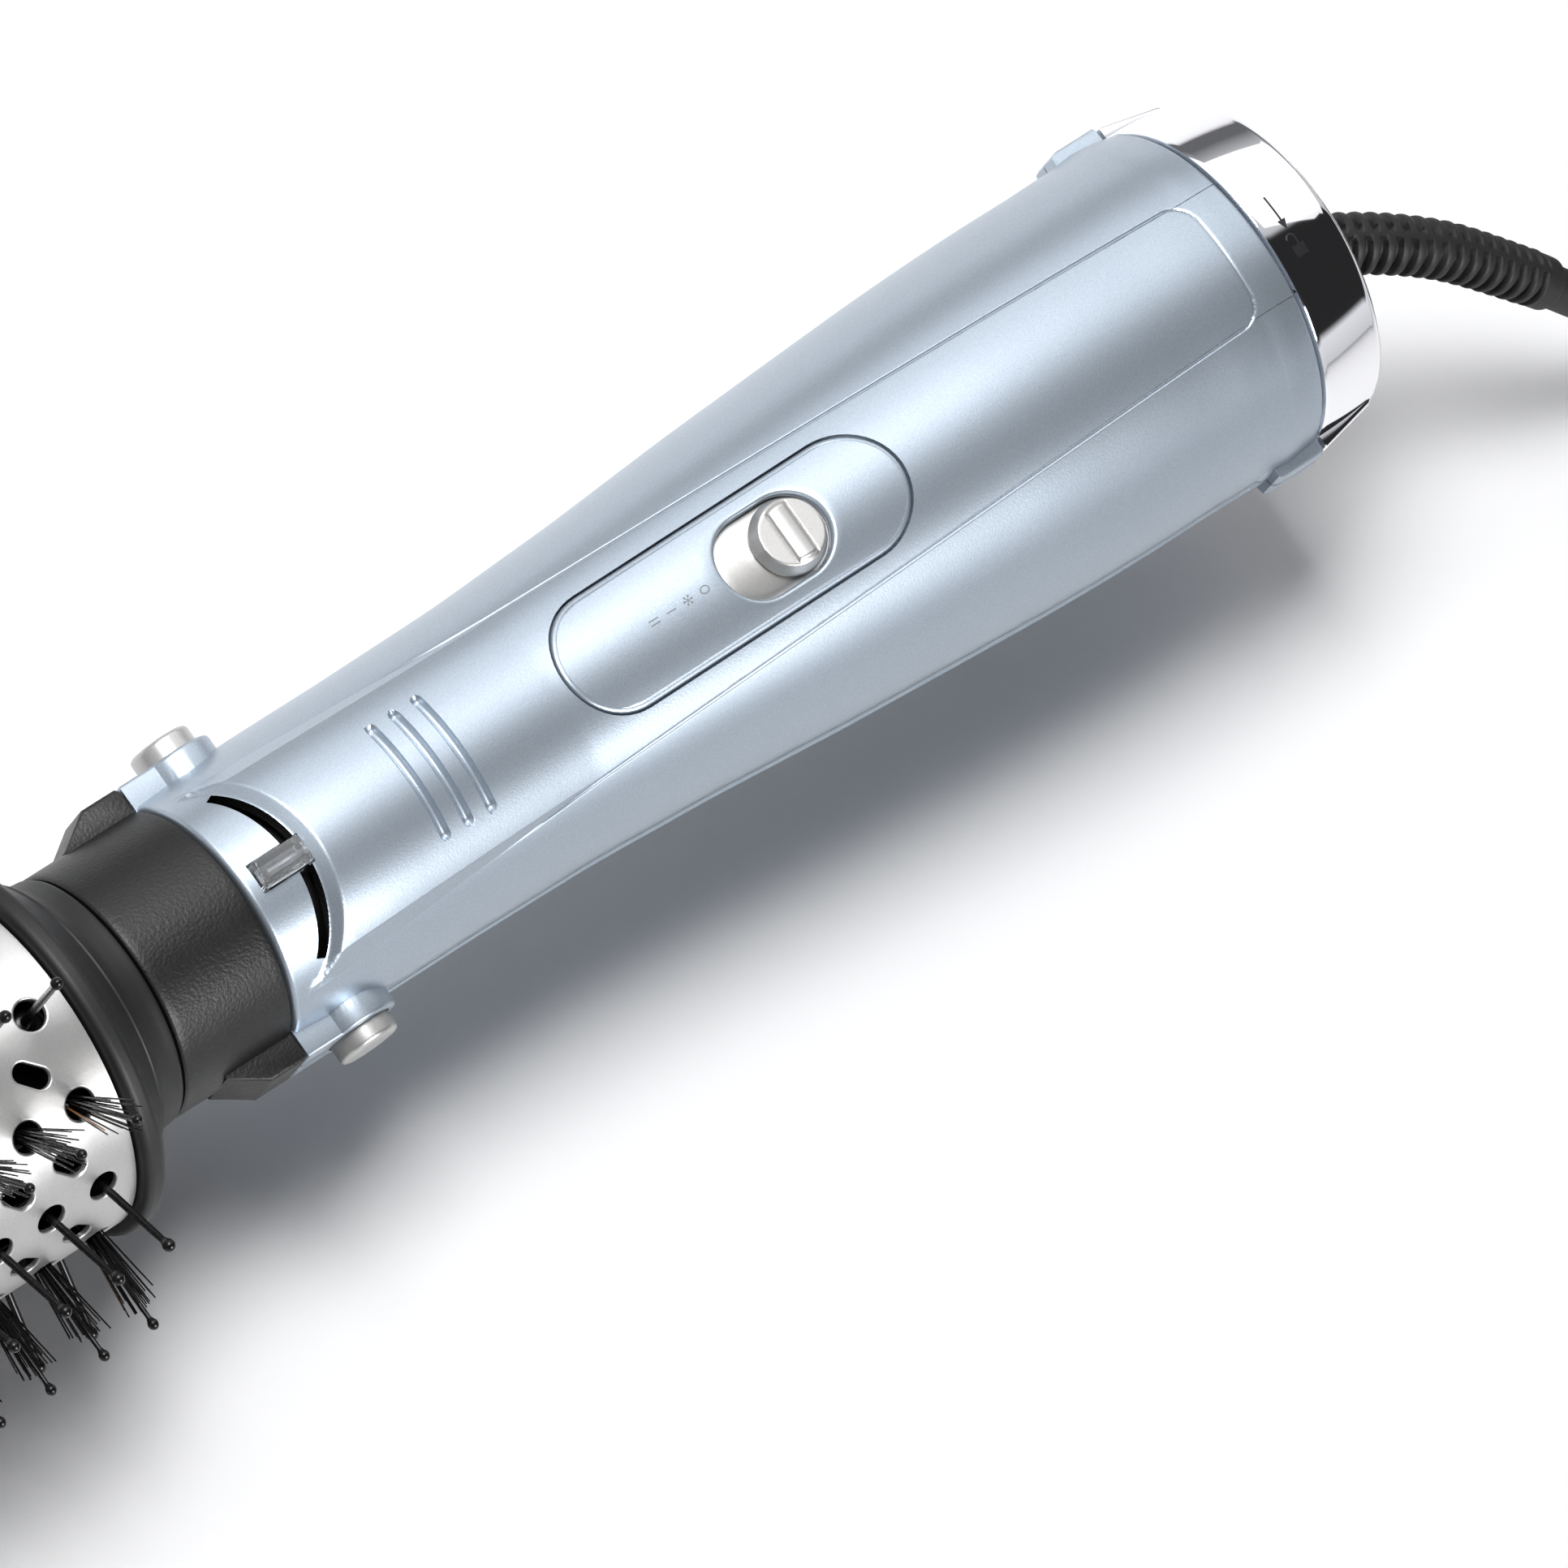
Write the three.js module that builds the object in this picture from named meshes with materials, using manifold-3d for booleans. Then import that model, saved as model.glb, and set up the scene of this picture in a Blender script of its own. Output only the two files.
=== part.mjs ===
// Hot air brush: a hand-held styler with a round bristle barrel, lying on its side on a table.
// Millimetres. The handle's long axis runs along X with the brush at -X and the cord at +X.
// Stations along the axis are measured from the seam between the handle and the brush head.
import * as THREE from 'three';
import { mergeVertices } from 'three/addons/utils/BufferGeometryUtils.js';
import Module from 'manifold-3d';

const wasm = await Module();
wasm.setup();

// ---- Driving dimensions ----
const GAP = 0.3;                  // clearance between touching pieces
const SIDES = 36;                 // facets round the handle's outer pieces
const INNER_SIDES = 24;           // facets round the turned pieces inside and on the brush head

const PIN_TIP_R = 39;             // the bristle tips' distance from the axis
const AXIS_HEIGHT = PIN_TIP_R;    // the lowest bristle tips touch the table
const TIP_END = -130;
const CAP_END = 177.5;
const MIDDLE = (TIP_END + CAP_END) / 2;

const SHELL_WALL = 2.2;
const SHELL_END = 166.3;
// Station and outer radius of the handle, front to back.
const HANDLE_OUTLINE = [
  [0, 18], [15, 19], [50, 20.35], [108, 23.8], [125, 24.75], [140, 25.15], [160, 25], [SHELL_END, 24.2],
];
const PANEL = { front: 10, rear: 160.4, frontHalf: 14, rearHalf: 9.2, corner: 3, rise: 1, riseEnd: 50 };

const PLATE = { front: 51.6, rear: 106, half: 8.4, thick: 1.2 };
const SLOT = { front: 77.3, rear: 93.7, half: 5.7 };
const SWITCH_TRAVEL = 5.1;        // three steps of 1.7
const KNOB = { base: 5.2, top: 4.6, height: 2.4, ridge: 0.8 };
const SLIDER = { front: 76.8, rear: 99.3, half: 6.5, thick: 0.9 };
const KNOB_AT = SLOT.rear - SLOT.half;

const BUTTON = { at: 9.5, radius: 4.35, face: 23.7, foot: 18.2, travel: 2.2 };
const HOUSING = { face: 21, boss: 5.85, half: 4.3 };

const DUCT = { inner: 13.2, outer: 14.6, front: -10, rear: 60 };
const SPIGOT = { inner: 11.5, outer: 12.9, front: -30, rear: 12 };
const HEATER = { front: 16, rear: 58, half: 9.8, board: 0.8, wire: 0.4, coil: 10.7, turns: 5 };
const FAN = { front: 112, rear: 150, inner: 19.6, outer: 20.8, motor: 12.2, shaft: 1.15 };

const COLLAR = { front: -17.5, outer: 17.8, inner: 16.6 };
const BARREL = { rear: -31.3, front: -118, outer: 25, inner: 24.3, hole: 2.1 };
const ROWS = 12;                  // rows of bristles round the barrel
const RINGS = 10;                 // bristles along each row
const FIRST_RING = -36.4;
const RING_PITCH = 8.3;

const CORD_R = 3;
const RELIEF_R = 3.8;
const COIL = { x: 305, y: -11, radius: 47, turns: 3.5625, across: 6.3, up: 6.2 };
const PLUG = { x: 374, rear: -23.8, neck: -12, front: 14, half: 17.5, thick: 11, pin: 2.4, pinGap: 19 };
const FLOOR = -AXIS_HEIGHT;

// The cord's centreline: station, sideways and height from the handle's axis.
const RUN_ROUTE = [
  [158, 0, 0], [170, 0, 0], [179, -0.4, 0], [188, -4, -0.4], [199.3, -10.3, -3.2], [211, -18.4, -10],
  [223, -26.6, -19.5], [236, -34, -29], [249, -39.3, -35], [262.5, -43.9, FLOOR + CORD_R],
];
const RELIEF_LENGTH = 66;         // the strain relief, from its root inside the gland
const TAIL_ROUTE = [
  [338.5, -54.2, -33], [347, -52.4, -35.2], [357, -48.4, FLOOR + CORD_R], [366, -42, -35],
  [372.4, -34, -30.9], [PLUG.x, PLUG.rear - 1.4, FLOOR + PLUG.thick],
];

// ---- Materials ----
const material = (color, roughness, metalness, extra = {}) =>
  new THREE.MeshStandardMaterial({ color, roughness, metalness, ...extra });
const pearlBlue = material(0xb4c8d6, 0.32, 0.35);
const satinBlack = material(0x191919, 0.5, 0);
const glossBlack = material(0x0c0c0d, 0.2, 0);
const chrome = material(0xe8e8ea, 0.06, 1);
const satinSilver = material(0xb9bab8, 0.38, 0.7);
const barrelSilver = material(0xb6b5b2, 0.42, 0.8);
const clear = material(0xdfe8ee, 0.08, 0, { transparent: true, opacity: 0.35 });
const steel = material(0x9a9c9e, 0.3, 1);
const brass = material(0xc9a75a, 0.3, 1);
const mica = material(0xb9a883, 0.6, 0);
const heaterAlloy = material(0x6f6a66, 0.4, 1);
const boardGreen = material(0x2c6a45, 0.5, 0);
const whitePlastic = material(0xe2e2dc, 0.5, 0);
const softBlack = material(0x141414, 0.62, 0);
const filterGrey = material(0x3c3e40, 0.8, 0);

// ---- Solids ----
// A closed geometry as a solid: vertices joined, empty triangles dropped, faces turned outwards.
function solid(geometry) {
  const bare = geometry.clone();
  for (const name of Object.keys(bare.attributes)) {
    if (name !== 'position') bare.deleteAttribute(name);
  }
  const merged = mergeVertices(bare, 1e-4);
  const points = merged.attributes.position;
  const index = merged.index.array;
  const kept = [];
  let volume = 0;
  const corners = [new THREE.Vector3(), new THREE.Vector3(), new THREE.Vector3()];
  for (let i = 0; i < index.length; i += 3) {
    const [a, b, c] = [index[i], index[i + 1], index[i + 2]];
    if (a === b || b === c || c === a) continue;
    kept.push(a, b, c);
    corners.forEach((corner, k) => corner.fromBufferAttribute(points, [a, b, c][k]));
    volume += corners[0].dot(corners[1].clone().cross(corners[2]));
  }
  if (volume < 0) kept.reverse();
  return new wasm.Manifold(new wasm.Mesh({
    numProp: 3,
    vertProperties: Float32Array.from(points.array),
    triVerts: Uint32Array.from(kept),
  }));
}

// A solid turned about the handle's axis from a closed outline of [station, radius] points.
function turned(outline, sides = SIDES) {
  const onAxis = outline[0][1] === 0 && outline.at(-1)[1] === 0;
  const points = outline.map(([x, r]) => new THREE.Vector2(r, x));
  if (!onAxis) points.push(points[0].clone());
  return solid(new THREE.LatheGeometry(points, sides).rotateZ(-Math.PI / 2));
}

const tube = (x0, x1, inner, outer, sides = SIDES) =>
  turned([[x0, inner], [x0, outer], [x1, outer], [x1, inner]], sides);

const rod = (x0, x1, radius, sides = SIDES) =>
  turned([[x0, 0], [x0, radius], [x1, radius], [x1, 0]], sides);

const boxGeometry = (x0, x1, y0, y1, z0, z1) =>
  new THREE.BoxGeometry(x1 - x0, y1 - y0, z1 - z0).translate((x0 + x1) / 2, (y0 + y1) / 2, (z0 + z1) / 2);

const box = (...limits) => solid(boxGeometry(...limits));

// An outline drawn in plan, X and Y, as a solid between two heights.
function prism(shape, z0, z1, curveSegments = 8) {
  const options = { depth: z1 - z0, bevelEnabled: false, curveSegments };
  return solid(new THREE.ExtrudeGeometry(shape, options).translate(0, 0, z0));
}

const polygon = (points) => new THREE.Shape(points.map(([x, y]) => new THREE.Vector2(x, y)));

// A long round-ended outline along X.
function stadium(x0, x1, half) {
  const shape = new THREE.Shape();
  shape.absarc(x1 - half, 0, half, -Math.PI / 2, Math.PI / 2, false);
  shape.absarc(x0 + half, 0, half, Math.PI / 2, Math.PI * 1.5, false);
  return shape;
}

// An upright round pillar, or one along Y.
const pillar = (x, y, z0, z1, radius, sides = 16) =>
  solid(new THREE.CylinderGeometry(radius, radius, z1 - z0, sides)
    .rotateX(Math.PI / 2).translate(x, y, (z0 + z1) / 2));

const crossRod = (x, y0, y1, z, radius, sides = 20) =>
  solid(new THREE.CylinderGeometry(radius, radius, y1 - y0, sides).translate(x, (y0 + y1) / 2, z));

function joined(pieces) {
  return pieces.reduce((whole, piece) => whole.add(piece));
}

function cut(whole, ...pieces) {
  return pieces.reduce((rest, piece) => rest.subtract(piece), whole);
}

function geometryOf(piece) {
  const { numProp, vertProperties, triVerts } = piece.getMesh();
  const positions = new Float32Array((vertProperties.length / numProp) * 3);
  for (let i = 0; i < positions.length / 3; i += 1) {
    for (let k = 0; k < 3; k += 1) positions[i * 3 + k] = vertProperties[i * numProp + k];
  }
  const geometry = new THREE.BufferGeometry();
  geometry.setAttribute('position', new THREE.BufferAttribute(positions, 3));
  geometry.setIndex([...triVerts]);
  geometry.computeVertexNormals();
  return geometry;
}

const styler = new THREE.Group();
styler.position.set(-MIDDLE, 0, AXIS_HEIGHT);

function place(name, piece, finish, parent = styler) {
  const mesh = new THREE.Mesh(geometryOf(piece), finish);
  mesh.name = name;
  parent.add(mesh);
  return mesh;
}

const turnedAround = (piece, angle) => {
  const geometry = geometryOf(piece);
  return solid(geometry.rotateX(angle));
};

// ---- The handle's outline ----
function handleRadius(x) {
  const next = HANDLE_OUTLINE.findIndex(([station]) => station >= x);
  if (next <= 0) return HANDLE_OUTLINE[0][1];
  const [x0, r0] = HANDLE_OUTLINE[next - 1];
  const [x1, r1] = HANDLE_OUTLINE[next];
  return r0 + ((r1 - r0) * (x - x0)) / (x1 - x0);
}

// A layer of the handle between two depths, measured outwards from its outer surface.
function layer(x0, x1, inner, outer, extra = () => 0) {
  const stations = HANDLE_OUTLINE.map(([x]) => x).filter((x) => x > x0 && x < x1);
  const all = [x0, ...stations, x1];
  const outside = all.map((x) => [x, handleRadius(x) + outer + extra(x)]);
  const inside = all.map((x) => [x, handleRadius(x) + inner]).reverse();
  return turned([...outside, ...inside]);
}

function panelShape() {
  const { front, rear, frontHalf, rearHalf, corner } = PANEL;
  const shape = new THREE.Shape();
  shape.moveTo(front, -frontHalf);
  shape.lineTo(rear - corner, -rearHalf);
  shape.quadraticCurveTo(rear, -rearHalf, rear, corner - rearHalf);
  shape.lineTo(rear, rearHalf - corner);
  shape.quadraticCurveTo(rear, rearHalf, rear - corner, rearHalf);
  shape.lineTo(front, frontHalf);
  return shape;
}

function crescentShape() {
  const tip = { x: 2.5, y: 14 };
  const shape = new THREE.Shape();
  shape.moveTo(tip.x, -tip.y);
  shape.quadraticCurveTo(9.6, -9.5, 9.8, 0);
  shape.quadraticCurveTo(9.6, 9.5, tip.x, tip.y);
  shape.quadraticCurveTo(7.6, 8.5, 7.8, 0);
  shape.quadraticCurveTo(7.6, -8.5, tip.x, -tip.y);
  return shape;
}

// ---- The handle's shells ----
const SCREWS_AT = [63.3, 109];
const BOSS_R = 2.6;
const BOSS_SIDES = 10;
const GROOVES_AT = [26.8, 30.5, 34.2];

function buttonHousing() {
  const { at } = BUTTON;
  const boss = crossRod(at, 15.5, HOUSING.face, 0, HOUSING.boss);
  const neck = box(0, at, 15.5, HOUSING.face, -HOUSING.half, HOUSING.half);
  return boss.add(neck);
}

function buttonPocket() {
  const { at, radius } = BUTTON;
  const bore = crossRod(at, 14.8, HOUSING.face + 1, 0, radius + GAP);
  const armWay = box(-1, at, 14.8, 19.6, -2.6, 2.6);
  return bore.add(armWay);
}

function grooves() {
  const wedge = prism(polygon([[0, 0], [24, -10.7], [24, 10.7]]), -20, 20);
  const upright = solid(geometryOf(wedge).rotateY(-Math.PI / 2).translate(30, 0, 0));
  const rings = GROOVES_AT.map((x) => layer(x - 0.55, x + 0.55, -0.7, 3));
  return joined(rings).intersect(upright);
}

function handleBody() {
  const rise = (x) => Math.max(0, (PANEL.rise * (PANEL.riseEnd - x)) / (PANEL.riseEnd - PANEL.front));
  const wall = layer(0, SHELL_END, -SHELL_WALL, 0);
  const panel = layer(PANEL.front, PANEL.rear, -1, 0.02, rise).intersect(prism(panelShape(), 5, 40));
  const ribs = [[18, 14.9], [52, 14.9], [116, 21.1], [145, 21.1]].map(([x, inner]) =>
    tube(x, x + 1.5, inner, handleRadius(x) - 1));
  const housings = [0, Math.PI].map((a) => turnedAround(buttonHousing(), a));
  const tabs = box(158, SHELL_END, -26, 26, -3.5, 3.5).subtract(rod(150, 170, 23.4));
  const bosses = SCREWS_AT.map((x) =>
    pillar(x, 0, 1 - handleRadius(x), handleRadius(x) - 2, BOSS_R, BOSS_SIDES));
  return joined([wall, panel, ...ribs, ...housings, tabs, ...bosses]);
}

function handleCuts() {
  const inside = rod(-1, 14, DUCT.outer + 0.4);
  const pockets = [0, Math.PI].map((a) => turnedAround(buttonPocket(), a));
  const crescent = prism(crescentShape(), 8, 30);
  const window = box(2, 10, -2.2, 2.2, 12, 30);
  const platePocket = layer(45, 110, -PLATE.thick - GAP, 4).intersect(
    prism(stadium(PLATE.front - GAP, PLATE.rear + GAP, PLATE.half + GAP), 5, 40));
  const sliderWay = box(71.2, 99.8, -6.9, 6.9, 10, 30);
  const screwWays = SCREWS_AT.flatMap((x) => [
    pillar(x, 0, -handleRadius(x) + 4, 8, 1.15, 10),
    pillar(x, 0, -40, -handleRadius(x) + 4.01, 2.2, 12),
  ]);
  return [inside, ...pockets, crescent, window, platePocket, sliderWay, grooves(), ...screwWays];
}

function addShells() {
  const body = cut(handleBody(), ...handleCuts());
  const half = GAP / 2;
  place('handle_upper_shell', body.intersect(box(-20, 200, -60, 60, half, 60)), pearlBlue);
  place('handle_lower_shell', body.intersect(box(-20, 200, -60, 60, -60, -half)), pearlBlue);
  SCREWS_AT.forEach((x, i) => {
    const seat = -handleRadius(x) + 4 - GAP;
    const screw = pillar(x, 0, seat - 1.6, seat, 1.9, 12).add(pillar(x, 0, seat - 0.5, 7, 0.85, 8));
    place(['shell_screw_front', 'shell_screw_rear'][i], screw, steel);
  });
}

// ---- Switch ----
function addSwitch() {
  const shape = stadium(PLATE.front, PLATE.rear, PLATE.half);
  const slot = prism(stadium(SLOT.front, SLOT.rear, SLOT.half), 5, 40);
  const plate = layer(45, 110, -PLATE.thick, 0).intersect(prism(shape, 5, 40)).subtract(slot);
  place('switch_plate', plate, pearlBlue);

  const top = -PLATE.thick - GAP;
  const sliderBlock = box(SLIDER.front, SLIDER.rear, -SLIDER.half, SLIDER.half, 5, 40);
  const stem = box(KNOB_AT - 1.2, KNOB_AT + 1.2, -1.2, 1.2, 16.2, 20.6);
  const slider = layer(60, 107, top - SLIDER.thick, top).intersect(sliderBlock).add(stem);
  place('switch_slider', slider, satinSilver);

  const slope = Math.atan2(handleRadius(100) - handleRadius(80), 20);
  const tilted = new THREE.Group();
  tilted.position.set(KNOB_AT, 0, handleRadius(KNOB_AT));
  tilted.rotation.y = -slope;
  styler.add(tilted);
  const foot = top + GAP;
  const round = solid(new THREE.CylinderGeometry(KNOB.top, KNOB.base, KNOB.height, 24)
    .rotateX(Math.PI / 2).translate(0, 0, foot + KNOB.height / 2));
  const reach = KNOB.top - 0.4;
  const ridge = crossRod(0, -reach, reach, foot + KNOB.height - 0.3, KNOB.ridge + 0.3, 10);
  place('switch_knob', round.add(ridge), satinSilver, tilted);

  const body = box(77, 99, -5, 5, 12.7, 17).subtract(box(81, 90, -1.6, 1.6, 15.5, 18));
  place('switch_body', body, satinBlack);
  place('control_board', box(66.5, 106, -12.5, 12.5, 11, 12.4), boardGreen);
}

// ---- Release buttons ----
function buttonSolid() {
  const { at, radius, face, foot } = BUTTON;
  const body = crossRod(at, foot, face - 0.6, 0, radius);
  const crown = solid(new THREE.CylinderGeometry(radius - 0.6, radius, 0.6, 20)
    .translate(at, face - 0.3, 0));
  const arm = box(-6, 6.1, 16.9, foot, -2.2, 2.2);
  const root = box(4.8, 6.1, 17.5, 19.5, -2.2, 2.2);
  const tooth = box(-6, -4.4, 17, 19, -2.2, 2.2);
  return joined([body, crown, arm, root, tooth]).subtract(crossRod(at, foot - 1, 21.9, 0, 3.2, 16));
}

function springSolid() {
  const coils = 4;
  const pitch = 1;
  const outline = [[0, 2.1], [0, 2.5]];
  for (let i = 0; i < coils; i += 1) outline.push([(i + 0.5) * pitch, 2.9], [(i + 1) * pitch, 2.5]);
  outline.push([coils * pitch, 2.1]);
  const points = [...outline, outline[0]].map(([h, r]) => new THREE.Vector2(r, h));
  return solid(new THREE.LatheGeometry(points, 12).translate(BUTTON.at, DUCT.outer + GAP, 0));
}

function addButtons() {
  [['left', 0], ['right', Math.PI]].forEach(([side, angle]) => {
    place(`release_button_${side}`, turnedAround(buttonSolid(), angle), satinSilver);
    place(`button_spring_${side}`, turnedAround(springSolid(), angle), steel);
  });
}

// ---- Ion outlet ----
function addIonOutlet() {
  const lens = cut(box(2.3, 9.7, -1.9, 1.9, 15.1, 19.6), box(3.8, 10, -0.9, 0.9, 15, 16.9));
  place('ion_window', lens, clear);
  const emitter = new THREE.CylinderGeometry(0.5, 0.5, 12, 8).rotateZ(Math.PI / 2).translate(10.5, 0, 15.9);
  place('ion_emitter', solid(emitter), steel);
  place('ioniser_module', box(70, 94, -7, 7, -15, -6), satinBlack);
}

// ---- Air duct and heater ----
function heaterWire() {
  const { coil, turns, wire } = HEATER;
  const steps = 10;
  const length = 26;
  const points = [];
  for (let i = 0; i <= turns * steps; i += 1) {
    const angle = (i / steps) * Math.PI * 2;
    const x = HEATER.front + 2 + (length * i) / (turns * steps);
    points.push(new THREE.Vector3(x, Math.cos(angle) * coil, Math.sin(angle) * coil));
  }
  const section = polygon([[wire, 0], [0, wire], [-wire, 0], [0, -wire]]);
  const extrudePath = new THREE.CatmullRomCurve3(points);
  const options = { steps: turns * steps, bevelEnabled: false, extrudePath };
  return solid(new THREE.ExtrudeGeometry(section, options));
}

function addHeater() {
  place('nose_duct', tube(DUCT.front, DUCT.rear, DUCT.inner, DUCT.outer, INNER_SIDES), satinBlack);
  place('heater_sleeve', tube(14, HEATER.rear, 11.9, 12.6, INNER_SIDES), mica);
  const { front, rear, half, board } = HEATER;
  const middle = (front + rear) / 2;
  const t = board / 2;
  const flatSlot = box(middle, rear + 1, -t - GAP, t + GAP, -2, 2);
  const flat = box(front, rear, -half, half, -t, t).subtract(flatSlot);
  const slot = box(front - 1, middle + GAP, -2, 2, -t - GAP, t + GAP);
  place('heater_board_flat', flat, mica);
  place('heater_board_upright', box(front, rear, -t, t, -half, half).subtract(slot), mica);
  place('heater_wire', heaterWire(), heaterAlloy);
  place('thermostat', box(45, 55, 1.2, 7.5, 0.8, 4.4), whitePlastic);
  const fuse = new THREE.CylinderGeometry(1.2, 1.2, 10, 10).rotateZ(Math.PI / 2).translate(29, -5, 2);
  place('thermal_fuse', solid(fuse), steel);
}

// ---- Fan and motor ----
function addFan() {
  const { front, rear, inner, outer, motor, shaft } = FAN;
  const cup = tube(118, 138, motor + 0.4, motor + 1.6, 24);
  const vanes = [0, 1, 2, 3, 4].map((i) =>
    solid(boxGeometry(122, 136, -0.6, 0.6, motor + 1.2, inner + 0.4).rotateX((i * Math.PI * 2) / 5)));
  place('fan_housing', joined([tube(front, rear, inner, outer, INNER_SIDES), cup, ...vanes]), satinBlack);
  place('motor', rod(119, 139.5, motor, 24).subtract(rod(131, 140, shaft + 0.35, 12)), steel);
  place('motor_shaft', rod(131.4, 150.6, shaft, 12), steel);
  const hub = rod(141.5, 149.5, 6.5, 16).subtract(rod(141, 150, shaft + GAP, 12));
  const blades = [];
  for (let i = 0; i < 7; i += 1) {
    const blade = new THREE.BoxGeometry(1.1, 8.6, 12.6).rotateZ(0.7).translate(145.5, 0, 12);
    blades.push(solid(blade.rotateX((i * Math.PI * 2) / 7)));
  }
  place('fan_impeller', joined([hub, ...blades]), satinBlack);
}

// ---- Rear cap, filter and cord gland ----
function spokes(count, x0, x1, half, r0, r1) {
  return Array.from({ length: count }, (_, i) =>
    solid(boxGeometry(x0, x1, -half, half, r0, r1).rotateX((i * Math.PI * 2) / count)));
}

function addRearCap() {
  const ring = turned([
    [161, 20.6], [161, 21.4], [SHELL_END + 0.5, 21.4], [SHELL_END + 0.5, 24.1], [171, 24],
    [175.6, 23.6], [177, 22.9], [CAP_END, 21.8], [CAP_END, 20.6],
  ]);
  const lugs = box(167.3, 176.4, -25.3, 25.3, -3.5, 3.5).subtract(rod(150, 190, 23));
  place('rear_cap', ring.add(lugs), chrome);
  const slots = spokes(12, 175, 178, 1, 8.4, 18.6);
  place('intake_grille', cut(tube(175.9, 177.3, 6.2, 20.3, INNER_SIDES), ...slots), satinBlack);
  const frame = [
    tube(163, 166, 18.6, 20.2, INNER_SIDES), tube(163, 166, 6.2, 7.8, 16),
    ...spokes(4, 163, 166, 0.8, 7, 19.4),
  ];
  place('filter_frame', joined(frame), satinBlack);
  place('filter_mesh', tube(166.3, 166.8, 6.3, 20.2, INNER_SIDES), filterGrey);
  const gland = [
    tube(153, 157, 21.4, 22.5, INNER_SIDES), tube(152, 174, 4.1, 5.6, 16),
    ...spokes(3, 153.5, 156.5, 1, 5, 22),
  ];
  place('cord_gland', joined(gland), satinBlack);
}

// ---- Brush head ----
function collarLug() {
  const shape = polygon([[-GAP, 15], [-GAP, 21], [-6, 21], [-11, COLLAR.outer - 0.2], [-11, 15]]);
  return prism(shape, -HOUSING.half, HOUSING.half);
}

function addCollar() {
  const { front, outer, inner } = COLLAR;
  const lugs = [0, Math.PI].map((a) => turnedAround(collarLug(), a));
  const armWays = [0, Math.PI].map((a) => turnedAround(box(-8, 1, 14, 19.4, -2.6, 2.6), a));
  const shell = joined([tube(front, -GAP, inner, outer), ...lugs]);
  place('brush_collar', cut(shell, rod(-13, 1, inner), ...armWays), satinBlack);
  const spigot = tube(SPIGOT.front, SPIGOT.rear, SPIGOT.inner, SPIGOT.outer, INNER_SIDES);
  const web = tube(-16, -14, SPIGOT.outer - 0.5, inner - GAP, INNER_SIDES);
  place('brush_spigot', spigot.add(web), glossBlack);
  const flange = turned([
    [front - GAP, 13.3], [front - GAP, 17.9], [-21.5, 18.3], [-23.5, 19.6], [-27.6, 26.2], [-28.6, 27],
    [-30.3, 27], [-31, 26.4], [-31, 23.9], [-33.6, 23.9], [-33.6, 22.6], [-30, 22.6],
    [-22.6, 15], [-22.6, 13.3],
  ], INNER_SIDES);
  place('brush_flange', flange, satinBlack);
}

function barrelSolid() {
  const { rear, front, outer, inner, hole } = BARREL;
  const cutter = new THREE.CylinderGeometry(hole, hole, 4, 6).rotateX(Math.PI / 2).translate(0, 0, outer);
  const holes = [];
  for (let row = 0; row < ROWS; row += 1) {
    for (let ring = 0; ring < RINGS; ring += 1) {
      const x = FIRST_RING - ring * RING_PITCH;
      holes.push(solid(cutter.clone().rotateX((row * Math.PI * 2) / ROWS).translate(x, 0, 0)));
    }
  }
  const flatUnderHoles = Math.PI / INNER_SIDES;
  return turnedAround(tube(front, rear, inner, outer, INNER_SIDES), flatUnderHoles).subtract(joined(holes));
}

// A bar under the barrel with one row of bristles: slim ball-ended pins, or tufts round a pin.
function bristleStrip(tufted) {
  const seat = 21;
  const pin = [[seat, 0], [seat, 0.55], [38.2, 0.45], [38.5, 0.85], [PIN_TIP_R, 0]];
  const tuft = [[seat, 0], [seat, 0.9], [35.5, 2.1], [36, 0.5], [PIN_TIP_R, 0.45], [PIN_TIP_R, 0]];
  const points = (tufted ? tuft : pin).map(([h, r]) => new THREE.Vector2(r, h));
  const bristle = new THREE.LatheGeometry(points, 4).rotateX(Math.PI / 2);
  const last = FIRST_RING - (RINGS - 1) * RING_PITCH;
  const pieces = [box(last - 2.4, FIRST_RING + 2.4, -1.7, 1.7, 20.2, 21.6)];
  for (let ring = 0; ring < RINGS; ring += 1) {
    pieces.push(solid(bristle.clone().translate(FIRST_RING - ring * RING_PITCH, 0, 0)));
  }
  return joined(pieces);
}

function addBarrel() {
  place('brush_barrel', barrelSolid(), barrelSilver);
  const windows = [];
  for (let row = 0; row < ROWS; row += 1) {
    const angle = ((row + 0.5) * Math.PI * 2) / ROWS;
    windows.push(solid(boxGeometry(-108, -40, -2.2, 2.2, 17, 21).rotateX(angle)));
  }
  const carrier = [tube(-114, -34, 18.6, 19.9, INNER_SIDES), tube(-113.7, -111.5, 1.5, 19, 12)];
  place('bristle_carrier', joined(carrier).subtract(joined(windows)), glossBlack);
  for (let row = 0; row < ROWS; row += 1) {
    const strip = turnedAround(bristleStrip(row % 2 === 1), (row * Math.PI * 2) / ROWS);
    place(`bristle_strip_${String(row + 1).padStart(2, '0')}`, strip, glossBlack);
  }
  const cap = turned([
    [-115.5, 22.6], [-115.5, 24], [BARREL.front - GAP, 24], [BARREL.front - GAP, 25], [-122, 25],
    [-126.5, 22.6], [-129, 16], [TIP_END, 8], [TIP_END, 3.3], [-128, 3.3], [-128, 1.6], [-114.2, 1.6],
    [-114.2, 3.6], [-126.4, 3.6], [-127.4, 14.8], [-125, 21.2], [-121.6, 22.9],
  ], INNER_SIDES);
  place('tip_cap', cap, satinBlack);
  place('tip_screw', rod(-129.8, -128.3, 2.9, 16).add(rod(-129, -104, 1.25, 10)), steel);
}

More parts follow.
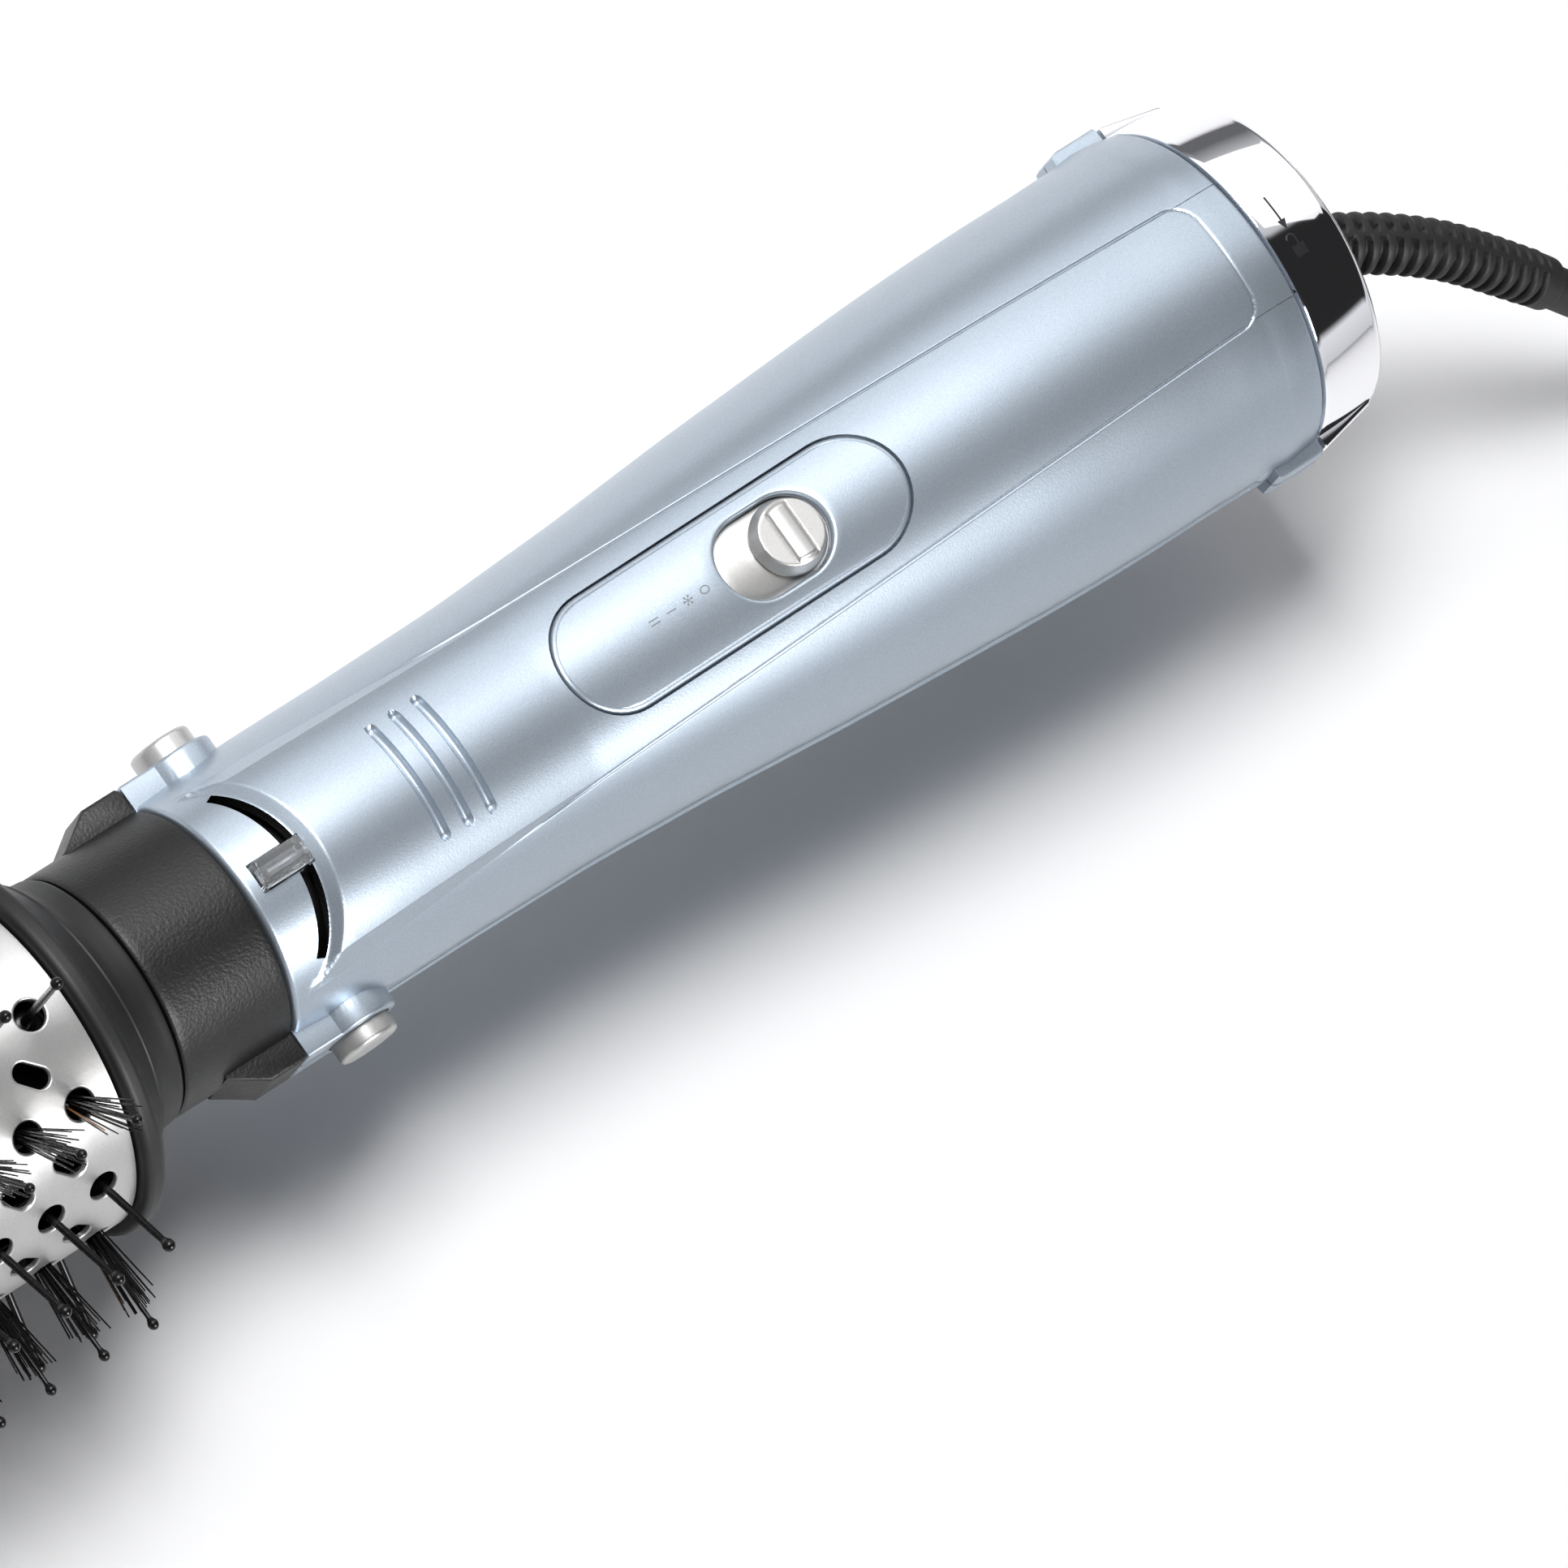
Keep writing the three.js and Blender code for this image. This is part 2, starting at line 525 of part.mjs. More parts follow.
// ---- Cord and plug ----
const route = (points) => new THREE.CatmullRomCurve3(points.map((p) => new THREE.Vector3(...p)));

// The stretch of a curve between two distances along it.
function stretch(curve, from, to) {
  const length = curve.getLength();
  const points = [];
  const steps = 12;
  for (let i = 0; i <= steps; i += 1) {
    const along = from + ((to - from) * i) / steps;
    points.push(curve.getPointAt(along / length));
  }
  return new THREE.CatmullRomCurve3(points);
}

function cordTube(extrudePath, radius, steps) {
  const section = new THREE.Shape();
  section.absarc(0, 0, radius, 0, Math.PI * 2, false);
  const options = { steps, curveSegments: 4, bevelEnabled: false, extrudePath };
  return solid(new THREE.ExtrudeGeometry(section, options));
}

function addCord() {
  const run = route(RUN_ROUTE);
  const relief = stretch(run, 0, RELIEF_LENGTH);
  place('strain_relief', cordTube(relief, RELIEF_R, 10), softBlack);
  const rest = stretch(run, RELIEF_LENGTH + GAP, run.getLength());
  place('cord_run', cordTube(rest, CORD_R, 5), softBlack);

  const inner = COIL.radius - COIL.across * COIL.turns - CORD_R;
  const outer = COIL.radius + CORD_R;
  const height = COIL.up + CORD_R * 2;
  const soft = 2;
  const outline = [
    [inner + soft, 0], [outer - soft, 0], [outer, soft], [outer, height - soft], [outer - soft, height],
    [inner + soft, height], [inner, height - soft], [inner, soft], [inner + soft, 0],
  ];
  const ring = new THREE.LatheGeometry(outline.map(([r, z]) => new THREE.Vector2(r, z)), 24)
    .rotateX(Math.PI / 2).translate(COIL.x, COIL.y, FLOOR);
  place('cord_coil', solid(ring), softBlack);
  const [tieFront, tieRear] = [COIL.x - outer, COIL.x - inner];
  const halfBand = 4.5;
  const top = FLOOR + height;
  const band = box(tieFront - 1.6, tieRear + 1.6, COIL.y - halfBand, COIL.y + halfBand, FLOOR, top + 1.4);
  const hold = box(tieFront - 0.4, tieRear + 0.9, COIL.y - 6, COIL.y + 6, FLOOR - 1, top + GAP);
  place('cord_tie', band.subtract(hold), softBlack);
  place('cord_tail', cordTube(route(TAIL_ROUTE), CORD_R, 6), softBlack);
}

function plugShape() {
  const { half, thick } = PLUG;
  const corner = 8;
  const shape = new THREE.Shape();
  shape.moveTo(corner - half, -thick);
  shape.lineTo(half - corner, -thick);
  shape.quadraticCurveTo(half, -thick, half, 0);
  shape.quadraticCurveTo(half, thick, half - corner, thick);
  shape.lineTo(corner - half, thick);
  shape.quadraticCurveTo(-half, thick, -half, 0);
  shape.quadraticCurveTo(-half, -thick, corner - half, -thick);
  return shape;
}

function addPlug() {
  const { x, rear, neck, front, thick, pin, pinGap } = PLUG;
  const z = FLOOR + thick;
  const options = { depth: front - neck, bevelEnabled: false, curveSegments: 5 };
  const block = new THREE.ExtrudeGeometry(plugShape(), options).rotateX(Math.PI / 2).translate(x, front, z);
  const relief = solid(new THREE.CylinderGeometry(6.5, 4.4, neck - rear + 1, 16)
    .translate(x, (neck + rear + 1) / 2, z));
  const bores = [-1, 1].map((side) =>
    crossRod(x + (side * pinGap) / 2, front - 6, front + 1, z, pin + GAP, 12));
  place('plug_body', cut(solid(block).add(relief), ...bores), satinBlack);
  [['left', -1], ['right', 1]].forEach(([side, sign]) => {
    const at = x + (sign * pinGap) / 2;
    place(`plug_pin_${side}`, crossRod(at, front - 6 + GAP, front + 19, z, pin, 12), brass);
  });
}

addShells();
addSwitch();
addButtons();
addIonOutlet();
addHeater();
addFan();
addRearCap();
addCollar();
addBarrel();
addCord();
addPlug();

export default styler;
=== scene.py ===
"""Hot air brush on a pale table: the finished surfaces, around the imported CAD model.

Shapes are worked out in millimetres in the handle's own frame: X is the station along the axis, with 0 at
the seam between the handle and the brush head, Y is sideways and Z is up from the axis. frame_points()
moves them into the shared frame, in metres.
"""
import math
import random

import bpy
import bmesh
import numpy as np
from mathutils import Matrix, Vector


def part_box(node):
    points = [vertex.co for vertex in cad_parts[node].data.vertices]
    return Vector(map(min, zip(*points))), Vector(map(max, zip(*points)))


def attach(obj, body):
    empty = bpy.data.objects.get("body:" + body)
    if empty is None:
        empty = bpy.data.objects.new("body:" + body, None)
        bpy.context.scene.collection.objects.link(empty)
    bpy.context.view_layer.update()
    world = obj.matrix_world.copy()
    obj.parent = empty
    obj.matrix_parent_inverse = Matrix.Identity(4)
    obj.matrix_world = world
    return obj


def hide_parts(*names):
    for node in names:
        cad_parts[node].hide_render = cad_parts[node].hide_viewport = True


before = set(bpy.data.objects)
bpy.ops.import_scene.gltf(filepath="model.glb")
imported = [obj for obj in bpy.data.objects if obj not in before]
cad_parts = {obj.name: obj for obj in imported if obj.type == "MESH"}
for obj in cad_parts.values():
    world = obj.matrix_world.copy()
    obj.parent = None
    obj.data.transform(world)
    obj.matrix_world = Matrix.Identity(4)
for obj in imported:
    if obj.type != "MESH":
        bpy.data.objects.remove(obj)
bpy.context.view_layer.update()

MM = 0.001

# ---- The handle's frame, from the CAD ----
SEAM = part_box("handle_upper_shell")[0][0] / MM       # the seam's place along the shared frame's X
AXIS_HEIGHT = sum(c[2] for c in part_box("brush_barrel")) / 2 / MM
FLOOR = -AXIS_HEIGHT


def frame_points(points):
    moved = np.array(points, dtype=float).reshape(-1, 3)
    return (moved + [SEAM, 0, AXIS_HEIGHT]) * MM


# ---- Driving dimensions ----
SHELL_WALL = 2.2
SHELL_END = 166.3
OUTLINE_X = [-20, 0, 15, 50, 108, 125, 140, 160, 166.3, 180]
OUTLINE_R = [16.7, 18, 19, 20.35, 23.8, 24.75, 25.15, 25, 24.2, 22.6]
PARTING = 0.15
PANEL = {"front": 10, "rear": 160.4, "corner": 3.2, "rise": 1.0, "rise_end": 50, "half_at": [2.4, 50, 160.4],
         "half": [15.2, 12.72, 9.2]}
PLATE = {"front": 51.6, "rear": 106, "half": 8.4, "thick": 1.2}
SLOT = {"front": 77.3, "rear": 93.7, "half": 5.7}
KNOB_AT = 88.0
KNOB = {"base": 5.2, "top": 4.6, "height": 2.4}
BUTTON = {"at": 9.5, "radius": 4.35, "face": 23.7, "foot": 18.2}
HOUSING = {"face": 21, "boss": 5.85, "half": 4.3}
GROOVES_AT = [26.8, 30.5, 34.2]
COLLAR_R = 17.8
BARREL_R = 25
BARREL_INNER_R = 24.3
ROWS = 12
RINGS = 10
FIRST_RING = -36.4
RING_PITCH = 8.3
PIN_TIP_R = 39
CORD_R = 3
CAP_END = 177.5


# ---- Camera: a long lens at the photograph's viewing angle ----
def add_camera():
    back = Vector((-0.415, -0.101, 0.904)).normalized()
    right = Vector((0.492, 0.811, 0.316)).cross(back).normalized()
    up = back.cross(right)
    aim = Vector(frame_points([60, 0, 0])[0])
    data = bpy.data.cameras.new("camera")
    data.sensor_width = 36
    data.lens = 445.8
    data.clip_end = 30
    camera = bpy.data.objects.new("camera", data)
    place = aim + (right * 27.18 - up * 10.8 + back * 2477.6) * MM
    camera.matrix_world = Matrix.Translation(place) @ Matrix((right, up, back)).transposed().to_4x4()
    bpy.context.collection.objects.link(camera)
    bpy.context.scene.camera = camera


# ---- Light ----
def area_light(name, place, aim, size, energy, sheen_only=False):
    """A rectangular light. With sheen_only it shows in reflections but leaves shadows dark."""
    data = bpy.data.lights.new(name, "AREA")
    data.shape = "RECTANGLE"
    data.size, data.size_y = size
    data.energy = energy
    light = bpy.data.objects.new(name, data)
    light.location = place
    light.rotation_euler = (Vector(aim) - Vector(place)).to_track_quat("-Z", "Y").to_euler()
    light.visible_diffuse = not sheen_only
    bpy.context.collection.objects.link(light)


def add_world():
    """A studio that is bright on the far side and low down, with a black card over the near side."""
    world = bpy.data.worlds.new("studio")
    bpy.context.scene.world = world
    world.use_nodes = True
    nodes, links = world.node_tree.nodes, world.node_tree.links
    way = nodes.new("ShaderNodeTexCoord")
    parts = nodes.new("ShaderNodeSeparateXYZ")
    links.new(way.outputs["Generated"], parts.inputs[0])
    near = nodes.new("ShaderNodeMath")
    near.operation = "MULTIPLY"
    near.inputs[1].default_value = -1
    links.new(parts.outputs["Y"], near.inputs[0])
    lean = nodes.new("ShaderNodeMath")
    lean.operation = "ARCTAN2"
    links.new(near.outputs[0], lean.inputs[0])
    links.new(parts.outputs["Z"], lean.inputs[1])
    spread = nodes.new("ShaderNodeMapRange")
    spread.inputs["From Min"].default_value = -math.pi
    spread.inputs["From Max"].default_value = math.pi
    links.new(lean.outputs[0], spread.inputs["Value"])
    ramp = nodes.new("ShaderNodeValToRGB")
    # The lean in degrees from straight up towards the near side, with its brightness.
    stops = [
        (-180, 0.2), (-118, 0.2), (-112, 0.08), (-80, 0.08), (-68, 0.25), (-55, 0.35), (-20, 0.35),
        (-8, 0.35), (-4, 0.3), (-1, 0.012), (68, 0.012), (73, 0.45), (100, 0.3), (180, 0.2),
    ]
    elements = ramp.color_ramp.elements
    for element, (lean_deg, bright) in zip([elements[0], elements[1]], [stops[0], stops[-1]]):
        element.position = (lean_deg + 180) / 360
        element.color = (bright * 0.97, bright * 0.98, bright * 1.02, 1)
    for lean_deg, bright in stops[1:-1]:
        element = elements.new((lean_deg + 180) / 360)
        element.color = (bright * 0.97, bright * 0.98, bright * 1.02, 1)
    links.new(spread.outputs[0], ramp.inputs[0])
    background = nodes["Background"]
    links.new(ramp.outputs[0], background.inputs["Color"])
    background.inputs["Strength"].default_value = 1.75


def add_studio():
    add_world()
    middle = (0.05, 0, 0.03)
    area_light("key", (-0.15, 0.64, 1.8), middle, (0.9, 0.7), 37)
    area_light("far_strip", (0.55, 0.73, 0.85), middle, (1.8, 1.0), 5.5, sheen_only=True)
    area_light("near_strip", (0.0, -0.92, 0.68), middle, (0.5, 0.42), 15, sheen_only=True)
    bpy.context.scene.view_settings.view_transform = "Standard"
    floor = bpy.data.meshes.new("floor")
    half = 4
    corners = [(-half, -half, 0), (half, -half, 0), (half, half, 0), (-half, half, 0)]
    floor.from_pydata(corners, [], [(0, 1, 2, 3)])
    floor.materials.append(material("table", (0.88, 0.88, 0.885), 0.55))
    table = bpy.data.objects.new("table_top", floor)
    bpy.context.collection.objects.link(table)


# ---- Materials ----
def material(name, colour, roughness, metallic=0.0, **sockets):
    made = bpy.data.materials.new(name)
    made.use_nodes = True
    shader = made.node_tree.nodes["Principled BSDF"]
    shader.inputs["Base Color"].default_value = (*colour, 1)
    shader.inputs["Roughness"].default_value = roughness
    shader.inputs["Metallic"].default_value = metallic
    for socket, value in sockets.items():
        shader.inputs[socket.replace("_", " ")].default_value = value
    return made


def noise(made, scale, detail=2):
    """A texture laid out in the piece's own metres: scale is cells to the metre."""
    nodes, links = made.node_tree.nodes, made.node_tree.links
    where = nodes.new("ShaderNodeTexCoord")
    texture = nodes.new("ShaderNodeTexNoise")
    texture.inputs["Scale"].default_value = scale
    texture.inputs["Detail"].default_value = detail
    links.new(where.outputs["Object"], texture.inputs["Vector"])
    return texture


def vary_colour(made, texture, low, high):
    """The base colour runs between two colours with a texture."""
    nodes, links = made.node_tree.nodes, made.node_tree.links
    mix = nodes.new("ShaderNodeMix")
    mix.data_type = "RGBA"
    mix.inputs[6].default_value = (*low, 1)
    mix.inputs[7].default_value = (*high, 1)
    links.new(texture.outputs[0], mix.inputs[0])
    links.new(mix.outputs[2], nodes["Principled BSDF"].inputs["Base Color"])


def vary_roughness(made, texture, low, high):
    nodes, links = made.node_tree.nodes, made.node_tree.links
    spread = nodes.new("ShaderNodeMapRange")
    spread.inputs["To Min"].default_value = low
    spread.inputs["To Max"].default_value = high
    links.new(texture.outputs[0], spread.inputs["Value"])
    links.new(spread.outputs[0], nodes["Principled BSDF"].inputs["Roughness"])


def bump(made, texture, strength, depth_mm):
    nodes, links = made.node_tree.nodes, made.node_tree.links
    bumps = nodes.new("ShaderNodeBump")
    bumps.inputs["Strength"].default_value = strength
    bumps.inputs["Distance"].default_value = depth_mm * MM
    links.new(texture.outputs[0], bumps.inputs["Height"])
    links.new(bumps.outputs[0], nodes["Principled BSDF"].inputs["Normal"])


def pearl():
    """Pale blue pearl lacquer: fine bright flakes in a satin metallic coat."""
    made = material("pearl_blue", (0.4, 0.46, 0.525), 0.36, 0.7)
    flakes = noise(made, 5200, 1)
    vary_colour(made, flakes, (0.295, 0.35, 0.41), (0.48, 0.54, 0.605))
    bump(made, noise(made, 3600, 1), 0.16, 0.05)
    return made


def leathery_black(name, colour=(0.006, 0.006, 0.006), roughness=0.42, depth=0.12):
    """Moulded black plastic with a fine spark-eroded grain."""
    made = material(name, colour, roughness, Specular_IOR_Level=0.4)
    grain = noise(made, 2100, 2)
    bump(made, grain, 0.55, depth)
    vary_roughness(made, noise(made, 240, 3), roughness - 0.05, roughness + 0.07)
    return made


def grained_metal(name, colour, roughness, metallic=0.75, scale=5200):
    made = material(name, colour, roughness, metallic)
    grain = noise(made, scale, 1)
    vary_colour(made, grain, tuple(c * 0.86 for c in colour), tuple(min(1, c * 1.14) for c in colour))
    bump(made, grain, 0.22, 0.03)
    return made


def plain_with_grain(name, colour, roughness, metallic=0.0, scale=1500, **sockets):
    made = material(name, colour, roughness, metallic, **sockets)
    texture = noise(made, scale, 2)
    vary_roughness(made, texture, max(0.02, roughness - 0.05), roughness + 0.06)
    return made


def circuit_green():
    made = material("circuit_board", (0.02, 0.14, 0.06), 0.45)
    vary_colour(made, noise(made, 500, 4), (0.012, 0.1, 0.04), (0.03, 0.2, 0.09))
    return made


def make_materials():
    clear = plain_with_grain("clear", (0.93, 0.95, 0.97), 0.04, scale=90, Transmission_Weight=0.9, IOR=1.46)
    return {
        "pearl_blue": pearl(),
        "satin_black": leathery_black("satin_black"),
        "moulded_black": leathery_black("moulded_black", (0.008, 0.008, 0.008), 0.5, 0.03),
        "gloss_black": plain_with_grain("gloss_black", (0.006, 0.006, 0.007), 0.14),
        "chrome": plain_with_grain("chrome", (0.93, 0.93, 0.95), 0.035, 1.0, scale=60),
        "satin_silver": grained_metal("satin_silver", (0.52, 0.515, 0.505), 0.36),
        "barrel_silver": grained_metal("barrel_silver", (0.50, 0.495, 0.49), 0.38, 0.8),
        "clear": clear,
        "steel": grained_metal("steel", (0.55, 0.56, 0.57), 0.28, 1.0, 900),
        "brass": grained_metal("brass", (0.72, 0.56, 0.28), 0.25, 1.0, 900),
        "mica": plain_with_grain("mica", (0.42, 0.34, 0.2), 0.55),
        "heater_alloy": grained_metal("heater_alloy", (0.3, 0.28, 0.27), 0.4, 1.0, 900),
        "circuit_board": circuit_green(),
        "white_plastic": plain_with_grain("white_plastic", (0.76, 0.76, 0.72), 0.5),
        "soft_black": leathery_black("soft_black", (0.009, 0.009, 0.009), 0.55, 0.04),
        "filter_grey": plain_with_grain("filter_grey", (0.05, 0.052, 0.055), 0.8),
        "print_grey": plain_with_grain("print_grey", (0.2, 0.22, 0.23), 0.5),
        "print_black": plain_with_grain("print_black", (0.01, 0.01, 0.012), 0.4),
        "brown_bristle": plain_with_grain("brown_bristle", (0.25, 0.11, 0.04), 0.4),
        "bristle_black": plain_with_grain("bristle_black", (0.004, 0.004, 0.004), 0.26,
                                          Specular_IOR_Level=0.28),
    }


# ---- Mesh helpers ----
SHARP = math.radians(38)


def finish_mesh(obj, sharp=SHARP):
    obj.data.shade_smooth()
    obj.data.set_sharp_from_angle(angle=sharp)


def piece(name, points, faces, finish, body, replaces=(), slot=None, sharp=SHARP):
    """A new piece from points in the handle's frame, riding on a CAD body."""
    mesh = bpy.data.meshes.new(name)
    mesh.from_pydata(frame_points(points).tolist(), [], [tuple(f) for f in faces])
    mesh.materials.append(LOOKS[finish])
    obj = bpy.data.objects.new(name, mesh)
    bpy.context.collection.objects.link(obj)
    turn_faces_out(mesh)
    finish_mesh(obj, sharp)
    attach(obj, body)
    if replaces:
        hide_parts(*([replaces] if isinstance(replaces, str) else replaces))
    return obj


def turn_faces_out(mesh):
    work = bmesh.new()
    work.from_mesh(mesh)
    bmesh.ops.remove_doubles(work, verts=work.verts, dist=1e-6)
    bmesh.ops.recalc_face_normals(work, faces=work.faces)
    work.to_mesh(mesh)
    work.free()


class Shape:
    """Points and faces gathered from several closed bodies."""

    def __init__(self):
        self.points = []
        self.faces = []

    def add(self, points, faces):
        start = len(self.points)
        self.points.extend([tuple(p) for p in points])
        self.faces.extend([tuple(i + start for i in face) for face in faces])
        return self


def loft(loops, closed=True, caps=True):
    """Quads between loops of equally many points. closed joins each loop's ends, caps close the two ends."""
    count = len(loops[0])
    points = [p for loop in loops for p in loop]
    faces = []
    around = count if closed else count - 1
    for level in range(len(loops) - 1):
        for i in range(around):
            j = (i + 1) % count
            a, b = level * count, (level + 1) * count
            faces.append((a + i, a + j, b + j, b + i))
    if caps:
        faces.append(tuple(range(count))[::-1])
        last = (len(loops) - 1) * count
        faces.append(tuple(range(last, last + count)))
    return points, faces


def ring_loft(loops):
    """Loops lofted one after the other and back to the first, as round a torus."""
    count = len(loops[0])
    points = [p for loop in loops for p in loop]
    faces = []
    for level in range(len(loops)):
        a, b = level * count, ((level + 1) % len(loops)) * count
        for i in range(count):
            j = (i + 1) % count
            faces.append((a + i, a + j, b + j, b + i))
    return points, faces


def rounded(outline, radius, steps=4):
    """A closed outline of 2-D points with its corners rounded."""
    smooth = []
    count = len(outline)
    for i, corner in enumerate(outline):
        corner = np.array(corner, float)
        before = np.array(outline[i - 1], float) - corner
        after = np.array(outline[(i + 1) % count], float) - corner
        reach = min(radius, 0.45 * np.linalg.norm(before), 0.45 * np.linalg.norm(after))
        start = corner + before / np.linalg.norm(before) * reach
        end = corner + after / np.linalg.norm(after) * reach
        for k in range(steps + 1):
            t = k / steps
            smooth.append((1 - t) ** 2 * start + 2 * t * (1 - t) * corner + t * t * end)
    return smooth


def around_axis(outline, sides=96):
    """A closed outline of (station, radius) points turned about the handle's axis."""
    loops = []
    for x, r in outline:
        loop = []
        for k in range(sides):
            angle = 2 * math.pi * k / sides
            loop.append((x, -r * math.sin(angle), r * math.cos(angle)))
        loops.append(loop)
    return ring_loft(loops)


def turned(name, outline, finish, body, replaces=(), soft=0.3, sides=96, slot=None):
    points, faces = around_axis(rounded(outline, soft), sides)
    return piece(name, points, faces, finish, body, replaces, slot)


def rectangle(x0, x1, y0, y1):
    return [(x0, y0), (x1, y0), (x1, y1), (x0, y1)]


def upright_circle(x, y, z, radius, count=32):
    """A circle that faces along Y."""
    angles = np.linspace(0, 2 * math.pi, count, endpoint=False)
    return [(x + radius * math.cos(a), y, z + radius * math.sin(a)) for a in angles]


def block(x0, x1, y0, y1, z0, z1, soft=0.3):
    """A box with rounded edges, as loops up its height."""
    loops = []
    steps = 3
    for z, side in [(z0, -1), (z1, 1)]:
        order = range(steps + 1) if side < 0 else range(steps, -1, -1)
        for k in order:
            angle = math.pi / 2 * k / steps
            inset = soft * (1 - math.sin(angle))
            height = z - side * soft * (1 - math.cos(angle))
            corners = rectangle(x0 + inset, x1 - inset, y0 + inset, y1 - inset)
            loops.append([(p[0], p[1], height) for p in rounded(corners, soft)])
    loops.sort(key=lambda loop: loop[0][2])
    return loft(loops)


def about_x(points, angle):
    """Points turned about the handle's axis, from the top towards the near side."""
    c, s = math.cos(angle), math.sin(angle)
    return [(x, y * c - z * s, y * s + z * c) for x, y, z in points]


def boolean(obj, cutters, operation="DIFFERENCE"):
    """Cuts or joins closed helper meshes into a piece, then removes the helpers."""
    for cutter in cutters:
        step = obj.modifiers.new("cut", "BOOLEAN")
        step.operation = operation
        step.object = cutter
        step.solver = "EXACT"
        for finish in obj.data.materials:
            cutter.data.materials.append(finish)
        apply_modifiers(obj)
        bpy.data.objects.remove(cutter)


def apply_modifiers(obj):
    depsgraph = bpy.context.evaluated_depsgraph_get()
    done = bpy.data.meshes.new_from_object(obj.evaluated_get(depsgraph))
    obj.modifiers.clear()
    old = obj.data
    obj.data = done
    done.name = obj.name
    bpy.data.meshes.remove(old)


def helper(points, faces, lining=0):
    """A closed cutter. The walls that it leaves take the piece's material of that number."""
    mesh = bpy.data.meshes.new("helper")
    mesh.from_pydata(frame_points(points).tolist(), [], [tuple(f) for f in faces])
    turn_faces_out(mesh)
    mesh.polygons.foreach_set("material_index", [lining] * len(mesh.polygons))
    obj = bpy.data.objects.new("helper", mesh)
    bpy.context.collection.objects.link(obj)
    return obj


# ---- The handle's outline ----
def handle_radius(x):
    """The outer radius at a station, with the outline's corners eased over a few millimetres."""
    x = np.asarray(x, dtype=float)
    reach = np.minimum(6.0, np.maximum(0.2, SHELL_END - x))
    return sum(np.interp(x + reach * t, OUTLINE_X, OUTLINE_R) for t in np.linspace(-1, 1, 9)) / 9


def ramp01(value):
    """0 below nought, 1 above one, and eased between."""
    t = np.clip(value, 0, 1)
    return t * t * (3 - 2 * t)


def panel_half(x):
    return np.interp(x, PANEL["half_at"], PANEL["half"])


def chamfer_width(x):
    fade = np.clip((PANEL["rise_end"] - x) / (PANEL["rise_end"] - PANEL["front"]), 0, 1)
    return 0.35 + 2.1 * fade


def arc_station(y, centre, reach, half):
    """Where an elliptic arc that bulges towards the rear crosses a line of constant y."""
    return centre + reach * np.sqrt(np.clip(1 - (y / half) ** 2, 0, 1))


def panel_rise(x, y):
    """The raised front of the top panel, with its sloped front band and side chamfers."""
    fade = np.clip((PANEL["rise_end"] - x) / (PANEL["rise_end"] - PANEL["front"]), 0, 1)
    opening = arc_station(y, 2.4, 7.25, 14.4)
    crest = arc_station(y, 2.4, 9.1, 15.2)
    front = (x - opening) / np.maximum(crest - opening, 0.6)
    side = (panel_half(x) - np.abs(y)) / chamfer_width(x)
    slope = np.clip(np.minimum(front, side), 0, 1)
    return PANEL["rise"] * fade * slope


def line_groove(distance, depth, width):
    return -depth * np.exp(-((distance / width) ** 2))


def panel_line(x, y):
    """The fine groove round the panel, behind its raised front, with rounded rear corners."""
    corner = PANEL["corner"]
    across = np.abs(y) - panel_half(x) + corner
    along = x - PANEL["rear"] + corner
    outside = np.hypot(np.maximum(across, 0), np.maximum(along, 0))
    distance = outside + np.minimum(np.maximum(across, along), 0) - corner
    start = ramp01((x - 30) / 20)
    return start * line_groove(distance, 0.2, 0.12)


def air_grooves(x, angle, radius):
    """Three round-bottomed arcs with rounded ends across the panel's front."""
    total = np.zeros_like(x)
    half_width, depth = 0.72, 0.8
    reach = math.radians(24)
    for station in GROOVES_AT:
        beyond = np.maximum(np.abs(angle) - reach, 0) * radius
        across = np.hypot(x - station, beyond) / half_width
        total = total - depth * np.sqrt(np.clip(1 - across ** 2, 0, 1))
    return total


def seam_band(x, z):
    """A shallow recess along each shell's parting edge, between the button housing and the rear tab."""
    along = np.minimum(ramp01((x - 15.2) / 0.8), ramp01((158 - x) / 0.8))
    return -0.32 * along * ramp01((3.4 - np.abs(z)) / 0.3)


def end_rounding(x):
    front = np.clip(0.7 - x, 0, 0.7)
    rear = np.clip(x - SHELL_END + 0.5, 0, 0.5)
    return -(0.7 - np.sqrt(0.49 - front ** 2 * 0.98)) - (0.5 - np.sqrt(0.25 - rear ** 2 * 0.98))


def side_pull(x, angle):
    """How far the handle's sides stand inside its round outline, which makes it a little taller than wide."""
    pull = np.interp(x, [16, 30, 50, 70, 90, 150, 157, 161], [0, 0.6, 1.15, 1.25, 0.85, 0.8, 0.6, 0])
    return -pull * np.sin(angle) ** 4


def shell_surface(x, angle, upper):
    """Outer points of a shell half at stations and angles from its crown."""
    radius = handle_radius(x)
    y = -radius * np.sin(angle)
    z = radius * np.cos(angle)
    extra = end_rounding(x) + seam_band(x, z) + side_pull(x, angle)
    if upper:
        extra = extra + panel_rise(x, y) + panel_line(x, y) + air_grooves(x, angle, radius)
    reach = radius + extra
    return np.stack([x, -reach * np.sin(angle), reach * np.cos(angle)], axis=-1)


def spaced(stops):
    """Numbers from stop to stop, each stretch with its own spacing."""
    values = []
    for (start, step), (end, _) in zip(stops[:-1], stops[1:]):
        count = max(1, round((end - start) / step))
        values.extend(np.linspace(start, end, count, endpoint=False))
    values.append(stops[-1][0])
    return np.array(values)


